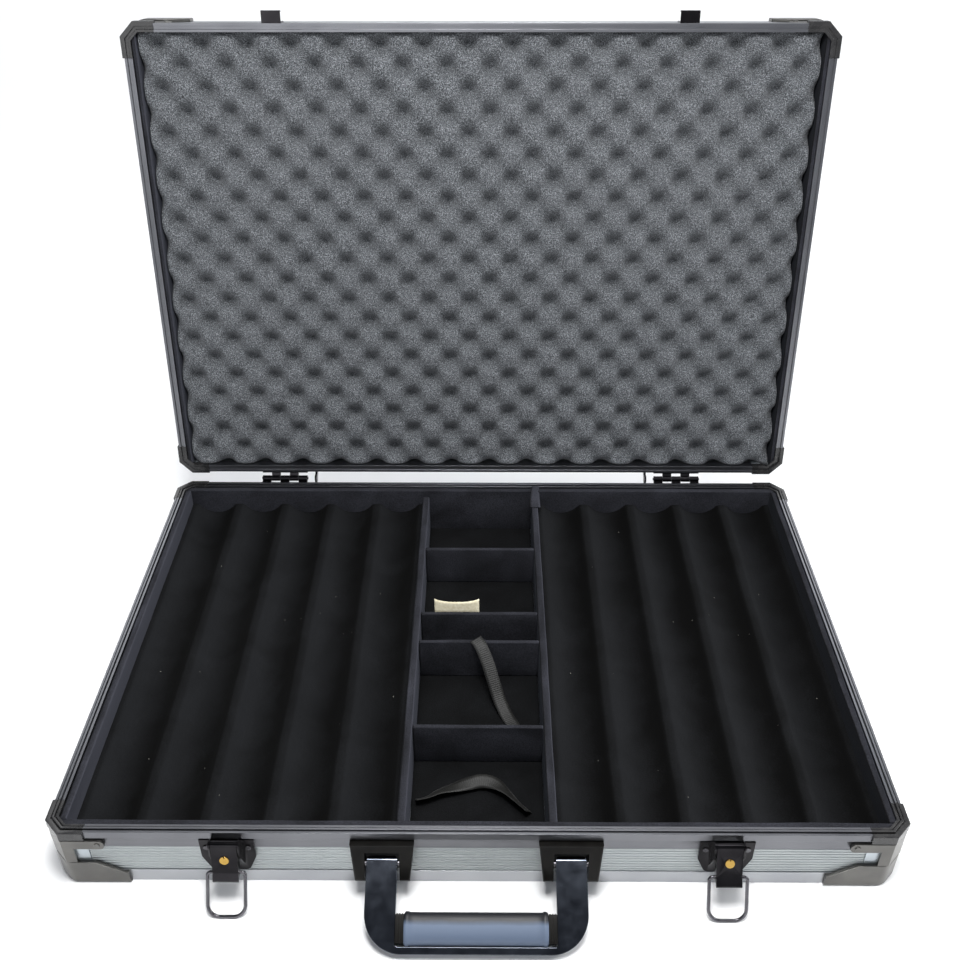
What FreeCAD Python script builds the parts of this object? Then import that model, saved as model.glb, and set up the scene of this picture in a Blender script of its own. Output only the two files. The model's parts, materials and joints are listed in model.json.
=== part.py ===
"""Poker chip case: a hinged aluminium-trimmed case, open, with chip trays, a card column and a foam lid.

Frame: millimetres, +Z up, front of the case towards -Y, +X to the right of a person facing the front.
The origin is the centre of the underside of the base's bottom board.

Each half of the case (base and lid) is built in the same half frame: its rim plane is Z = 0, its
boards lie below it and its plan is centred on the origin.  The base is lifted into place and the lid
is turned over and hung on the hinge line.  Outlines of edge pieces use u, the distance in from the
outer face of the rails, and the corner pieces use s, the distance in from the corner pieces' own face.
"""
import FreeCAD, Part
import math
import os
import re

import Sketcher

V = FreeCAD.Vector
doc = FreeCAD.newDocument("ChipCase")
sheet = doc.addObject("Spreadsheet::Sheet", "Sizes")

# ---------------------------------------------------------------- driving dimensions (millimetres)
SIZES = [
    ("case_width", 557.0, "left to right over the rails"),
    ("case_depth", 387.0, "front to back over the rails"),
    ("base_height", 51.4, "underside of the bottom board to the rim plane"),
    ("lid_height", 36.0, "rim plane to the top of the lid board"),
    ("lid_angle", 98.28, "how far the lid stands open, degrees"),
    ("lid_gap", 0.4, "gap between the two rims when shut"),
    ("hinge_out", 6.5, "hinge line behind the rails' back face"),
    # rails and boards
    ("rail_width", 6.5, "rim rail, across its top"),
    ("rail_lip", 6.2, "height of the rim rail's outer lip"),
    ("rail_band", 15.6, "depth of the rim rail's flange below the rim plane"),
    ("rail_cap", 2.2, "thickness of the rim rail's top"),
    ("rail_leg", 10.0, "depth of the rim rail's inner leg"),
    ("leg_thick", 1.0, "thickness of that inner leg"),
    ("band_inset", 1.0, "flange face behind the lip face"),
    ("panel_inset", 2.0, "panel face behind the lip face"),
    ("panel_thick", 3.5, "side panel"),
    ("board_thick", 5.0, "bottom board and lid board"),
    ("board_corner", 20.0, "corner cut of those boards"),
    ("foot_height", 11.2, "upright of the edge rail"),
    ("foot_reach", 11.0, "how far the edge rail wraps under the board"),
    ("foot_thick", 0.6, "thickness of that wrap, let into the board"),
    ("foot_room", 0.3, "room between the wrap and the board's raised field"),
    ("groove_inset", 1.7, "first rim groove from the lip face"),
    ("groove_width", 0.8, "rim groove width"),
    ("groove_depth", 1.2, "rim groove depth"),
    ("tongue_width", 1.5, "tongue between the base's rim grooves"),
    ("tongue_height", 0.8, "tongue above the base's rim plane"),
    ("tongue_gap", 0.4, "room each side of the tongue in the lid's groove"),
    ("rib_pitch", 2.7, "spacing of the panel ribs"),
    ("rib_width", 1.7, "rib at its root"),
    ("rib_height", 0.5, "rib above the panel face"),
    # corner pieces
    ("corner_proud", 1.5, "corner pieces stand out from the rails"),
    ("corner_cut", 11.0, "corner chamfer leg"),
    ("corner_arm", 27.0, "arm of a rim corner from the corner"),
    ("corner_skirt", 7.0, "depth of a rim corner"),
    ("corner_lap", 1.5, "thickness of its part that laps over the lining"),
    ("bracket_arm", 39.0, "arm of a corner bracket"),
    ("bracket_top", 8.0, "top of a corner bracket below the rim plane"),
    ("bracket_width", 8.0, "width of its arm"),
    ("bracket_body", 18.5, "arm of its lower part"),
    ("bracket_set", 0.3, "base bracket face behind the corner face"),
    ("bracket_set_lid", 1.3, "lid bracket face behind the corner face"),
    ("bracket_end", 3.4, "rounding of a bracket arm's end"),
    ("rivet_radius", 2.0, "embossed rivet on a bracket arm"),
    ("rivet_rise", 0.6, "its height"),
    ("rivet_in", 4.5, "its centre from the arm's end"),
    ("cap_arm", 50.0, "long arm of a corner cap"),
    ("cap_high_arm", 30.0, "its tall part, where the slope to the long arm starts"),
    ("cap_slope_arm", 47.0, "where that slope ends"),
    ("cap_low", 11.0, "height of the long arm above the board's outer face"),
    ("cap_tall", 21.4, "height of the tall part of a base cap"),
    ("cap_tall_lid", 17.0, "height of the tall part of a lid cap"),
    ("cap_round", 9.0, "upright rounding of a cap"),
    ("cap_edge", 2.0, "rounding of a cap's outer rim"),
    # lining, trays and dividers
    ("liner_thick", 5.0, "velvet covered lining board of the base"),
    ("liner_drop", 1.5, "top of the lining below the rim plane"),
    ("lid_liner_thick", 3.5, "lining board of the lid"),
    ("column_width", 106.0, "card column over its two dividers"),
    ("divider_thick", 6.0, "long divider"),
    ("cross_thick", 3.5, "cross divider"),
    ("divider_drop", 8.0, "top of the dividers below the rim plane"),
    ("floor_thick", 1.5, "velvet covered floor board"),
    ("bay_one", 76.0, "back bay"),
    ("bay_two", 82.3, "second bay"),
    ("bay_three", 32.3, "narrow bay"),
    ("bay_four", 87.1, "fourth bay"),
    ("groove_pitch", 42.6, "chip groove spacing"),
    ("chip_radius", 20.5, "chip groove radius"),
    ("ridge_drop", 16.5, "top of the ridges below the rim plane"),
    ("groove_sink", 9.5, "depth of a chip groove"),
    ("tray_wall", 2.0, "wall of the formed tray"),
    ("ridge_slot", 5.0, "hollow under a ridge, width"),
    ("foam_gap", 1.5, "room at the foam's sides"),
    ("foam_end_gap", 0.5, "room at the foam's front and back"),
    ("foam_drop", 3.0, "foam face behind the lid's rim plane"),
    ("soft_gap", 0.3, "room between soft pieces and boards"),
    ("tag_wide", 36.0, "card tag width"),
    ("tag_tall", 46.5, "card tag height"),
    ("tag_thick", 0.6, "card tag thickness"),
    ("ribbon_wide", 10.0, "ribbon width"),
    ("ribbon_thick", 1.2, "ribbon solid thickness"),
    ("ribbon_turn", 27.0, "turn of the back ribbon in plan, degrees"),
    ("ribbon_fall", 44.0, "back ribbon, from its divider to where it meets the floor"),
    ("ribbon_run", 60.0, "back ribbon, from its divider to its end"),
    # hinges
    ("hinge_place", 182.5, "hinge centre from the middle"),
    ("hinge_width", 42.0, "hinge width"),
    ("knuckle_radius", 2.6, "hinge knuckle"),
    ("knuckle_gap", 0.3, "gap between knuckles"),
    ("hinge_pin", 1.3, "hinge pin radius"),
    ("leaf_thick", 1.4, "hinge leaf"),
    ("leaf_tall", 24.0, "hinge leaf height"),
    ("leaf_drop", 1.2, "top of a leaf from its rim plane"),
    ("stay_place", 28.0, "stop plate from the hinge centre, towards the middle"),
    ("stay_thick", 2.0, "stop plate thickness"),
    ("stay_radius", 4.0, "stop plate rounding about the hinge line"),
    ("rivet_shank", 1.2, "rivet shank radius"),
    ("leaf_rivet_head", 2.0, "leaf rivet head radius"),
    ("leaf_rivet_rise", 0.7, "leaf rivet head above the leaf"),
    ("running_fit", 0.05, "radial room of a turning pin"),
    ("fixed_fit", 0.02, "radial room of a fixed pin"),
    # handle
    ("handle_place", 61.0, "middle of a handle arm from the middle"),
    ("handle_arm", 20.0, "width of a handle arm"),
    ("handle_reach", 54.5, "pivot to the outer edge"),
    ("handle_thick", 7.0, "thickness of the frame"),
    ("handle_tail", 4.5, "frame behind its pivot"),
    ("handle_strip", 4.5, "outer strip of the frame"),
    ("handle_round", 24.0, "outer corner rounding"),
    ("handle_inner_round", 2.0, "inner corner rounding"),
    ("grip_wide", 21.0, "grip across its flat"),
    ("grip_thick", 15.0, "grip thickness"),
    ("grip_half", 45.5, "half of the grip's length"),
    ("grip_round", 6.0, "grip edge rounding"),
    ("collar_thick", 11.0, "thickness of a grip collar"),
    ("handle_pivot_out", 6.0, "handle pivot in front of the rails"),
    ("handle_pivot_drop", 22.0, "handle pivot below the rim plane"),
    ("handle_pin", 2.0, "handle pin radius"),
    ("bracket_side", 9.6, "cheek of a handle bracket"),
    ("bracket_room", 1.2, "room each side of the arm in its bracket"),
    ("bracket_back", 1.6, "back wall of a handle bracket"),
    ("bracket_head", 5.0, "bracket above its window"),
    ("bracket_high", 27.5, "height of a handle bracket"),
    ("bracket_brow", 4.0, "bracket front at its top, in front of the rails"),
    ("bracket_chin", 12.5, "bracket front at its foot"),
    ("bracket_taper", 3.2, "each side of a handle bracket leans in by this at its foot"),
    ("pin_wall", 4.0, "bracket cheek beyond the handle pin"),
    # latches
    ("latch_place", 161.5, "latch centre from the middle"),
    ("plate_wide", 35.5, "latch plate, top"),
    ("plate_foot", 24.0, "latch plate, foot"),
    ("plate_tall", 31.0, "latch plate height"),
    ("plate_thick", 1.6, "latch plate thickness"),
    ("plate_rivet_in", 4.2, "plate rivet from the plate's edge"),
    ("plate_rivet_down", 9.0, "plate rivet below the lever pin"),
    ("plate_rivet_head", 2.0, "plate rivet head radius"),
    ("plate_rivet_rise", 0.8, "plate rivet head above the plate"),
    ("ear_thick", 1.2, "latch ear"),
    ("ear_round", 3.2, "latch ear rounding about its pin"),
    ("ear_drop", 27.0, "foot of a latch ear below its pin"),
    ("lever_wide", 16.8, "lever width"),
    ("lever_room", 0.3, "room between lever and ear"),
    ("lever_pivot_out", 5.0, "lever pin in front of the rails"),
    ("lever_pivot_drop", 5.0, "lever pin below the rim plane"),
    ("lever_barrel", 2.8, "lever barrel radius"),
    ("lever_pin", 1.0, "lever pin radius"),
    ("lever_lift_left", 0.0, "how far the left lever stands open, degrees"),
    ("lever_lift_right", 8.0, "how far the right lever stands open, degrees"),
    ("bail_out", 6.0, "bail eye in front of the lever pin"),
    ("bail_drop", 20.3, "bail eye below the lever pin"),
    ("bail_wire", 1.15, "bail wire radius"),
    ("bail_half", 12.2, "half the distance between the bail legs"),
    ("bail_reach", 29.5, "bail eye to its end bar"),
    ("bail_foot", 6.2, "inner end of a bail foot from the middle"),
    ("bail_bow", 8.0, "rounding of the bail's end"),
    ("lock_radius", 3.0, "lock barrel radius"),
    ("lock_down", 9.5, "lock centre down the lever face"),
    ("lock_rise", 0.6, "lock face above the lever face"),
    ("lock_deep", 4.5, "lock barrel below the lever face"),
    ("catch_wide", 15.0, "lid catch width"),
    ("catch_out", 9.0, "lid catch in front of the rails"),
    ("catch_lip", 1.0, "lip thickness"),
    ("catch_low", 0.5, "lip above the lid's rim plane"),
    ("catch_tip", 3.6, "upturned tip of the lip"),
    ("catch_tall", 14.0, "catch plate height"),
]
for row, (alias, number, note) in enumerate(SIZES, start=1):
    sheet.set(f"A{row}", note)
    sheet.set(f"B{row}", str(number))
    sheet.setAlias(f"B{row}", alias)
doc.recompute()

NAMES = re.compile(r"\b(" + "|".join(alias for alias, _, _ in SIZES) + r")\b")


def full(text):
    """The expression with every size named through the sheet."""
    return NAMES.sub(r"Sizes.\1", str(text))


def value(text):
    return float(sheet.evalExpression(full(text)))


def bind(obj, prop, text):
    obj.setExpression(prop, full(text))


def neg(text):
    return f"-({text})"


def place(x="0", y="0", z="0", turn="0"):
    """A placement expression: a turn in degrees about X, then a shift."""
    return (f"create(<<placement>>; create(<<vector>>; {x}; {y}; {z}); "
            f"create(<<rotation>>; create(<<vector>>; 1; 0; 0); {turn}))")


# ---------------------------------------------------------------- named places
HALF_W = "case_width / 2"
HALF_D = "case_depth / 2"
HINGE_Y = "(case_depth / 2 + hinge_out)"
INNER_U = "(rail_width + liner_thick)"
INNER_X = f"({HALF_W} - {INNER_U})"
INNER_Y = f"({HALF_D} - {INNER_U})"
BAY_X = "(column_width / 2 - divider_thick)"
CORNER_X = f"({HALF_W} + corner_proud)"
CORNER_Y = f"({HALF_D} + corner_proud)"
SPAN_X = f"(2 * ({CORNER_X} - corner_arm))"
SPAN_Y = f"(2 * ({CORNER_Y} - corner_arm))"
WRAP = "(corner_proud + band_inset)"
PANEL_S = "(corner_proud + panel_inset)"
RAIL_S = "(corner_proud + rail_width)"
BOARD_TOP = "board_thick - base_height"

BASE_PLACE = place(z="base_height")
LID_SHUT = "(lid_gap)"
LID_PLACE = place(
    y=f"{HINGE_Y} - {HINGE_Y} * cos(lid_angle) + {LID_SHUT} * sin(lid_angle)",
    z=f"base_height + {HINGE_Y} * sin(lid_angle) + {LID_SHUT} * cos(lid_angle)",
    turn="180 - lid_angle",
)


# ---------------------------------------------------------------- modelling helpers
def origin_plane(body, role):
    return next(f for f in body.Origin.OriginFeatures if f.Role == role)


def draw(body, role, rings, offset="0"):
    """A sketch of closed straight-edged rings, every corner bound to the sheet."""
    sketch = body.newObject("Sketcher::SketchObject", body.Name + "_sketch")
    sketch.AttachmentSupport = [(origin_plane(body, role), "")]
    sketch.MapMode = "FlatFace"
    bind(sketch, "AttachmentOffset.Base.z", offset)
    for ring in rings:
        first = sketch.GeometryCount
        spots = [V(value(x), value(y), 0) for x, y in ring]
        count = len(spots)
        sketch.addGeometry([Part.LineSegment(spots[i], spots[(i + 1) % count]) for i in range(count)], False)
        for i in range(count):
            sketch.addConstraint(Sketcher.Constraint("Coincident", first + i, 2, first + (i + 1) % count, 1))
        for i, (x, y) in enumerate(ring):
            for kind, text, number in (("DistanceX", x, spots[i].x), ("DistanceY", y, spots[i].y)):
                index = sketch.addConstraint(Sketcher.Constraint(kind, -1, 1, first + i, 1, number))
                bind(sketch, f"Constraints[{index}]", text)
    return sketch


def pad(body, role, rings, start, length):
    """Material from start, along the plane's normal, over length."""
    feature = body.newObject("PartDesign::Pad", body.Name + "_pad")
    feature.Profile = draw(body, role, rings, start)
    bind(feature, "Length", length)
    doc.recompute()
    return feature


def pocket(body, role, rings, top, depth):
    """Cuts down from top, against the plane's normal; the volume has to fall."""
    before = body.Shape.Volume
    feature = body.newObject("PartDesign::Pocket", body.Name + "_pocket")
    feature.Profile = draw(body, role, rings, top)
    bind(feature, "Length", depth)
    doc.recompute()
    if body.Shape.Volume >= before:
        raise RuntimeError(f"{body.Name}: a pocket cut nothing")
    return feature


def prism(name, role, rings, start, length):
    body = doc.addObject("PartDesign::Body", name)
    pad(body, role, rings, start, length)
    return body


def along_x(name, ring, length):
    """An outline in (y, z) drawn out evenly to both sides of x = 0."""
    return prism(name, "YZ_Plane", [ring], f"-({length}) / 2", length)


def along_y(name, ring, length):
    """An outline in (x, z) drawn out evenly to both sides of y = 0."""
    return prism(name, "XZ_Plane", [ring], f"-({length}) / 2", length)


def rectangle(x0, x1, y0, y1):
    return [(x0, y0), (x1, y0), (x1, y1), (x0, y1)]


def block(name, x0, x1, y0, y1, z0, z1):
    box = doc.addObject("Part::Box", name)
    bind(box, "Length", f"({x1}) - ({x0})")
    bind(box, "Width", f"({y1}) - ({y0})")
    bind(box, "Height", f"({z1}) - ({z0})")
    bind(box, "Placement", place(x0, y0, z0))
    return box


def rod(name, axis, centre, radius, start, end):
    """A cylinder along X, Y or Z from start to end; centre is its place across the axis."""
    bar = doc.addObject("Part::Cylinder", name)
    bind(bar, "Radius", radius)
    bind(bar, "Height", f"({end}) - ({start})")
    a, b = centre
    spot = {"X": (start, a, b), "Y": (a, start, b), "Z": (a, b, start)}[axis]
    turn = {"X": "create(<<vector>>; 0; 1; 0); 90", "Y": "create(<<vector>>; 1; 0; 0); -90",
            "Z": "create(<<vector>>; 0; 0; 1); 0"}[axis]
    bind(bar, "Placement", f"create(<<placement>>; create(<<vector>>; {'; '.join(spot)}); "
                           f"create(<<rotation>>; {turn}))")
    return bar


def cut(name, base, tools):
    """The base less every tool."""
    shape = base
    for number, tool in enumerate(tools):
        step = doc.addObject("Part::Cut", f"{name}_{number}")
        step.Base = shape
        step.Tool = tool
        shape = step
    return shape


def join(name, pieces):
    fused = doc.addObject("Part::MultiFuse", name)
    fused.Shapes = pieces
    fused.Refine = True
    return fused


def mirror(source, normal):
    copy = doc.addObject("Part::Mirroring", source.Name + "_mirror")
    copy.Source = source
    copy.Normal = normal
    return copy


def both_sides(source):
    """The piece and its copy across the middle of the case."""
    return [source, mirror(source, V(1, 0, 0))]


def four_corners(source):
    right = mirror(source, V(1, 0, 0))
    return [source, right, mirror(source, V(0, 1, 0)), mirror(right, V(0, 1, 0))]


def moved(name, source, placement):
    """The piece carried to another place, as a shape of its own."""
    held = doc.addObject("Part::Compound", name)
    held.Links = [source]
    bind(held, "Placement", placement)
    return held


def round_edges(body, radius, choose):
    """A fillet on the edges of the body's last feature that choose() accepts."""
    doc.recompute()
    edges = [f"Edge{i}" for i, edge in enumerate(body.Shape.Edges, start=1) if choose(edge)]
    if not edges:
        raise RuntimeError(f"{body.Name}: no edge to round")
    last = body.Tip
    feature = body.newObject("PartDesign::Fillet", body.Name + "_round")
    feature.Base = (last, edges)
    bind(feature, "Radius", radius)
    doc.recompute()
    return feature


def upright(edge):
    """True for a straight edge along Z."""
    return edge.BoundBox.XLength < 1e-6 and edge.BoundBox.YLength < 1e-6


NODES = []


def node(label, pieces, placement=None):
    """One named sub-part: its piece, or its group of like pieces, put in place."""
    group = doc.addObject("Part::Compound", label)
    group.Links = pieces if isinstance(pieces, list) else [pieces]
    group.Label = label
    if placement:
        bind(group, "Placement", placement)
    NODES.append(group)
    return group


# ---------------------------------------------------------------- the two halves of the shell
def corner_spot(sx, sy):
    """A plan point of the front left corner, by its distance in from each face."""
    return (f"({sx}) - {CORNER_X}", f"({sy}) - {CORNER_Y}")


def cut_leg(s):
    """The corner chamfer's leg on an outline that lies s inside the corner face."""
    return f"(corner_cut - ({s}) * (2 - sqrt(2)))"


def corner_band(outer, inner, arm, square_inside=False):
    """An L-shaped plan band round the chamfered corner, between two insets."""
    leg = cut_leg(outer)
    ring = [(arm, outer), (f"({outer}) + {leg}", outer), (outer, f"({outer}) + {leg}"), (outer, arm),
            (inner, arm)]
    if square_inside:
        ring.append((inner, inner))
    else:
        leg = cut_leg(inner)
        ring += [(inner, f"({inner}) + {leg}"), (f"({inner}) + {leg}", inner)]
    ring.append((arm, inner))
    return [corner_spot(sx, sy) for sx, sy in ring]


def rim_profile(tongue):
    """The rim rail's section in (u, z): capped channel over the panel, with grooves or a slot on top."""
    first = "groove_inset"
    second = f"({first} + groove_width)"
    third = f"({second} + tongue_width)"
    fourth = f"({third} + groove_width)"
    if tongue:
        top = [(first, "0"), (first, "-groove_depth"), (second, "-groove_depth"), (second, "tongue_height"),
               (third, "tongue_height"), (third, "-groove_depth"), (fourth, "-groove_depth"), (fourth, "0")]
    else:
        low, high = f"({second} - tongue_gap)", f"({third} + tongue_gap)"
        top = [(low, "0"), (low, "-groove_depth"), (high, "-groove_depth"), (high, "0")]
    slot = "(panel_inset + panel_thick)"
    return [("0", "0")] + top + [
        ("rail_width", "0"), ("rail_width", "-rail_leg"), (f"{slot}", "-rail_leg"), (f"{slot}", "-rail_cap"),
        ("panel_inset", "-rail_cap"), ("panel_inset", "-rail_band"), ("band_inset", "-rail_band"),
        ("band_inset", "-rail_lip"), ("0", "-rail_lip")]


def foot_profile(height):
    """The edge rail's section: an upright on the panel's foot and a wrap let into the board's edge."""
    wrap = f"foot_thick - {height}"
    end = "(band_inset + foot_reach)"
    return [("band_inset", f"foot_height - {height}"), ("panel_inset", f"foot_height - {height}"),
            ("panel_inset", wrap), (end, wrap), (end, f"-{height}"), ("band_inset", f"-{height}")]


def from_front(ring):
    return [(f"({u}) - {HALF_D}", z) for u, z in ring]


def from_left(ring):
    return [(f"({u}) - {HALF_W}", z) for u, z in ring]


def panel(name, side, span, height):
    """A side panel with fine level ribs on the part of its face that shows."""
    section = rectangle("panel_inset", "panel_inset + panel_thick", f"board_thick - {height}", "-rail_cap")
    draw_out, across, role = (along_x, from_front, "YZ_Plane") if side == "front" else \
        (along_y, from_left, "XZ_Plane")
    body = draw_out(name, across(section), span)
    low = f"(foot_height - {height} + (rib_pitch - rib_width) / 2)"
    room = value(f"{height} - foot_height - rail_band")
    count = int(room / value("rib_pitch") + 1e-6)
    rib = [("panel_inset + 0.01", low), ("panel_inset - rib_height", f"{low} + rib_width / 4"),
           ("panel_inset - rib_height", f"{low} + rib_width * 3 / 4"),
           ("panel_inset + 0.01", f"{low} + rib_width")]
    first = pad(body, role, [across(rib)], f"-({span}) / 2", span)
    repeat = body.newObject("PartDesign::LinearPattern", name + "_ribs")
    repeat.Originals = [first]
    repeat.Direction = (first.Profile[0], ["V_Axis"])
    repeat.Occurrences = count
    bind(repeat, "Length", f"rib_pitch * {count - 1}")
    body.Tip = repeat
    doc.recompute()
    return body


def rim_corner(name, tongue):
    """A rim corner: it carries the rim's grooves round the chamfer."""
    body = prism(name, "XY_Plane", [corner_band("0", RAIL_S, "corner_arm", True)], "-corner_skirt",
                 "corner_skirt - corner_lap")
    pad(body, "XY_Plane", [corner_band("0", RAIL_S, "corner_arm")], "-corner_lap", "corner_lap")
    first = "(corner_proud + groove_inset)"
    second = f"({first} + groove_width)"
    third = f"({second} + tongue_width)"
    fourth = f"({third} + groove_width)"
    if tongue:
        pad(body, "XY_Plane", [corner_band(second, third, "corner_arm")], "0", "tongue_height")
        pocket(body, "XY_Plane", [corner_band(first, second, "corner_arm")], "0", "groove_depth")
        pocket(body, "XY_Plane", [corner_band(third, fourth, "corner_arm")], "0", "groove_depth")
    else:
        slot = corner_band(f"{second} - tongue_gap", f"{third} + tongue_gap", "corner_arm")
        pocket(body, "XY_Plane", [slot], "0", "groove_depth")
    return body


def outer_edge(edge):
    """True for an edge on the corner piece's outer face, at an end of the chamfer."""
    sx = edge.BoundBox.Center.x + value(CORNER_X)
    sy = edge.BoundBox.Center.y + value(CORNER_Y)
    return abs(min(sx, sy)) < 0.01 and abs(max(sx, sy) - value("corner_cut")) < 0.01


def corner_bracket(name, height, cap_tall, face):
    """The bracket below a rim corner, with round ended arms and an embossed rivet near each end."""
    body = prism(name, "XY_Plane", [corner_band(face, WRAP, "bracket_arm")],
                 "-bracket_top - bracket_width", "bracket_width")
    deep = value(WRAP) - value(face)
    ends = (value(f"bracket_arm - {CORNER_X}"), value(f"bracket_arm - {CORNER_Y}"))
    round_edges(body, "bracket_end", lambda e: abs(e.Length - deep) < 0.01
                and (abs(e.BoundBox.Center.x - ends[0]) < 0.01 or abs(e.BoundBox.Center.y - ends[1]) < 0.01))
    low = f"({cap_tall} - {height})"
    pad(body, "XY_Plane", [corner_band(face, WRAP, "bracket_body")], low,
        f"-bracket_top - bracket_width - {low}")
    middle = "(-bracket_top - bracket_width / 2)"
    spot = "(bracket_arm - rivet_in)"
    bosses = [
        rod(name + "_boss_x", "Y", (f"{spot} - {CORNER_X}", middle), "rivet_radius",
            f"{face} - rivet_rise - {CORNER_Y}", f"{face} + 0.5 - {CORNER_Y}"),
        rod(name + "_boss_y", "X", (f"{spot} - {CORNER_Y}", middle), "rivet_radius",
            f"{face} - rivet_rise - {CORNER_X}", f"{face} + 0.5 - {CORNER_X}"),
    ]
    return join(name + "_whole", [body] + bosses)


def corner_cap(name, height, cap_tall):
    """The rounded cap that guards an outer corner: tall at the corner, sloping down to its long arms."""
    foot = f"(-{height})"
    body = prism(name, "XY_Plane", [corner_band("0", WRAP, "cap_arm")], foot, cap_tall)
    low, high, above = f"cap_low - {height}", f"{cap_tall} - {height}", f"{cap_tall} + 1 - {height}"
    for role, edge, start in (("XZ_Plane", CORNER_X, f"{CORNER_Y} + 1"),
                              ("YZ_Plane", CORNER_Y, f"4 - {CORNER_X}")):
        slope_start, end = f"cap_high_arm - {edge}", f"cap_arm + 1 - {edge}"
        slope = [(slope_start, high), (f"cap_slope_arm - {edge}", low), (end, low), (end, above),
                 (slope_start, above)]
        pocket(body, role, [slope], start, "5")
    far = f"({PANEL_S} + board_corner)"
    web = [("0", "corner_cut"), ("0", far), (PANEL_S, far), (far, PANEL_S), (far, "0"), ("corner_cut", "0")]
    pad(body, "XY_Plane", [[corner_spot(sx, sy) for sx, sy in web]], foot, "board_thick")
    round_edges(body, "cap_round", lambda e: upright(e) and outer_edge(e))
    level = value(foot)
    round_edges(body, "cap_edge", lambda e: abs(e.BoundBox.ZMax - level) < 1e-4
                and abs(e.BoundBox.ZMin - level) < 1e-4 and outer_face_edge(e))
    return body


def outer_face_edge(edge):
    """True for an edge that runs along the corner piece's outer face."""
    def inside(spot):
        sx, sy = spot.x + value(CORNER_X), spot.y + value(CORNER_Y)
        return sx > 0.02 and sy > 0.02 and sx + sy > value("corner_cut") + 0.05
    ends = [vertex.Point for vertex in edge.Vertexes]
    if all(not inside(spot) for spot in ends):
        return True
    middle = edge.valueAt((edge.FirstParameter + edge.LastParameter) / 2)
    reach = value("cap_arm")
    near = min(middle.x + value(CORNER_X), middle.y + value(CORNER_Y))
    return edge.Curve.TypeId == "Part::GeomCircle" and near < reach / 4


def shell_half(prefix, height, cap_tall, placement, tongue):
    """The rails, panels, posts, corners and outer board of one half of the case."""
    front_rail = along_x(prefix + "_rim_x", from_front(rim_profile(tongue)), SPAN_X)
    left_rail = along_y(prefix + "_rim_y", from_left(rim_profile(tongue)), SPAN_Y)
    node(prefix + "_rim_rails", [front_rail, mirror(front_rail, V(0, 1, 0)), left_rail,
                                 mirror(left_rail, V(1, 0, 0))], placement)
    front_foot = along_x(prefix + "_edge_x", from_front(foot_profile(height)), SPAN_X)
    left_foot = along_y(prefix + "_edge_y", from_left(foot_profile(height)), SPAN_Y)
    node(prefix + "_edge_rails", [front_foot, mirror(front_foot, V(0, 1, 0)), left_foot,
                                  mirror(left_foot, V(1, 0, 0))], placement)
    front = panel(prefix + "_wall_x", "front", SPAN_X, height)
    left = panel(prefix + "_wall_y", "left", SPAN_Y, height)
    walls = [front, mirror(front, V(0, 1, 0)), left, mirror(left, V(1, 0, 0))]
    if prefix == "base":
        for side, wall in zip(("front", "back", "left", "right"), walls):
            node(f"base_{side}_panel", wall, placement)
    else:
        node("lid_panels", walls, placement)
    post = prism(prefix + "_post", "XY_Plane", [corner_band(WRAP, RAIL_S, "corner_arm", True)],
                 f"board_thick - {height}", f"{height} - board_thick - corner_skirt")
    node(prefix + "_corner_posts", four_corners(post), placement)
    node(prefix + "_rim_corners", four_corners(rim_corner(prefix + "_rim_corner", tongue)), placement)
    face = "bracket_set" if prefix == "base" else "bracket_set_lid"
    bracket = corner_bracket(prefix + "_bracket", height, cap_tall, face)
    node(prefix + "_corner_brackets", four_corners(bracket), placement)
    node(prefix + "_corner_caps", four_corners(corner_cap(prefix + "_cap", height, cap_tall)), placement)
    x, y = f"({HALF_W} - panel_inset)", f"({HALF_D} - panel_inset)"
    cx, cy = f"({x} - board_corner)", f"({y} - board_corner)"
    outline = [(neg(cx), neg(y)), (cx, neg(y)), (x, neg(cy)), (x, cy), (cx, y), (neg(cx), y), (neg(x), cy),
               (neg(x), neg(cy))]
    board = prism(prefix + "_plate", "XY_Plane", [outline], f"foot_thick - {height}",
                  "board_thick - foot_thick")
    edge = "(band_inset + foot_reach + foot_room)"
    fx, fy = f"({HALF_W} - {edge})", f"({HALF_D} - {edge})"
    pad(board, "XY_Plane", [rectangle(neg(fx), fx, neg(fy), fy)], f"-{height}", "foot_thick")
    node("bottom_board" if prefix == "base" else "lid_board", board, placement)


shell_half("base", "base_height", "cap_tall", BASE_PLACE, True)
shell_half("lid", "lid_height", "cap_tall_lid", LID_PLACE, False)


# ---------------------------------------------------------------- lining, trays and card column
def linings():
    """Four velvet covered boards round the inside of the base."""
    low, high = BOARD_TOP, "-liner_drop"
    outer_x, outer_y = f"({HALF_W} - rail_width)", f"({HALF_D} - rail_width)"
    front = block("lining_x", neg(outer_x), outer_x, neg(outer_y), neg(INNER_Y), low, high)
    left = block("lining_y", neg(outer_x), neg(INNER_X), neg(INNER_Y), INNER_Y, low, high)
    node("front_lining", front, BASE_PLACE)
    node("back_lining", mirror(front, V(0, 1, 0)), BASE_PLACE)
    node("left_lining", left, BASE_PLACE)
    node("right_lining", mirror(left, V(1, 0, 0)), BASE_PLACE)


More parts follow.
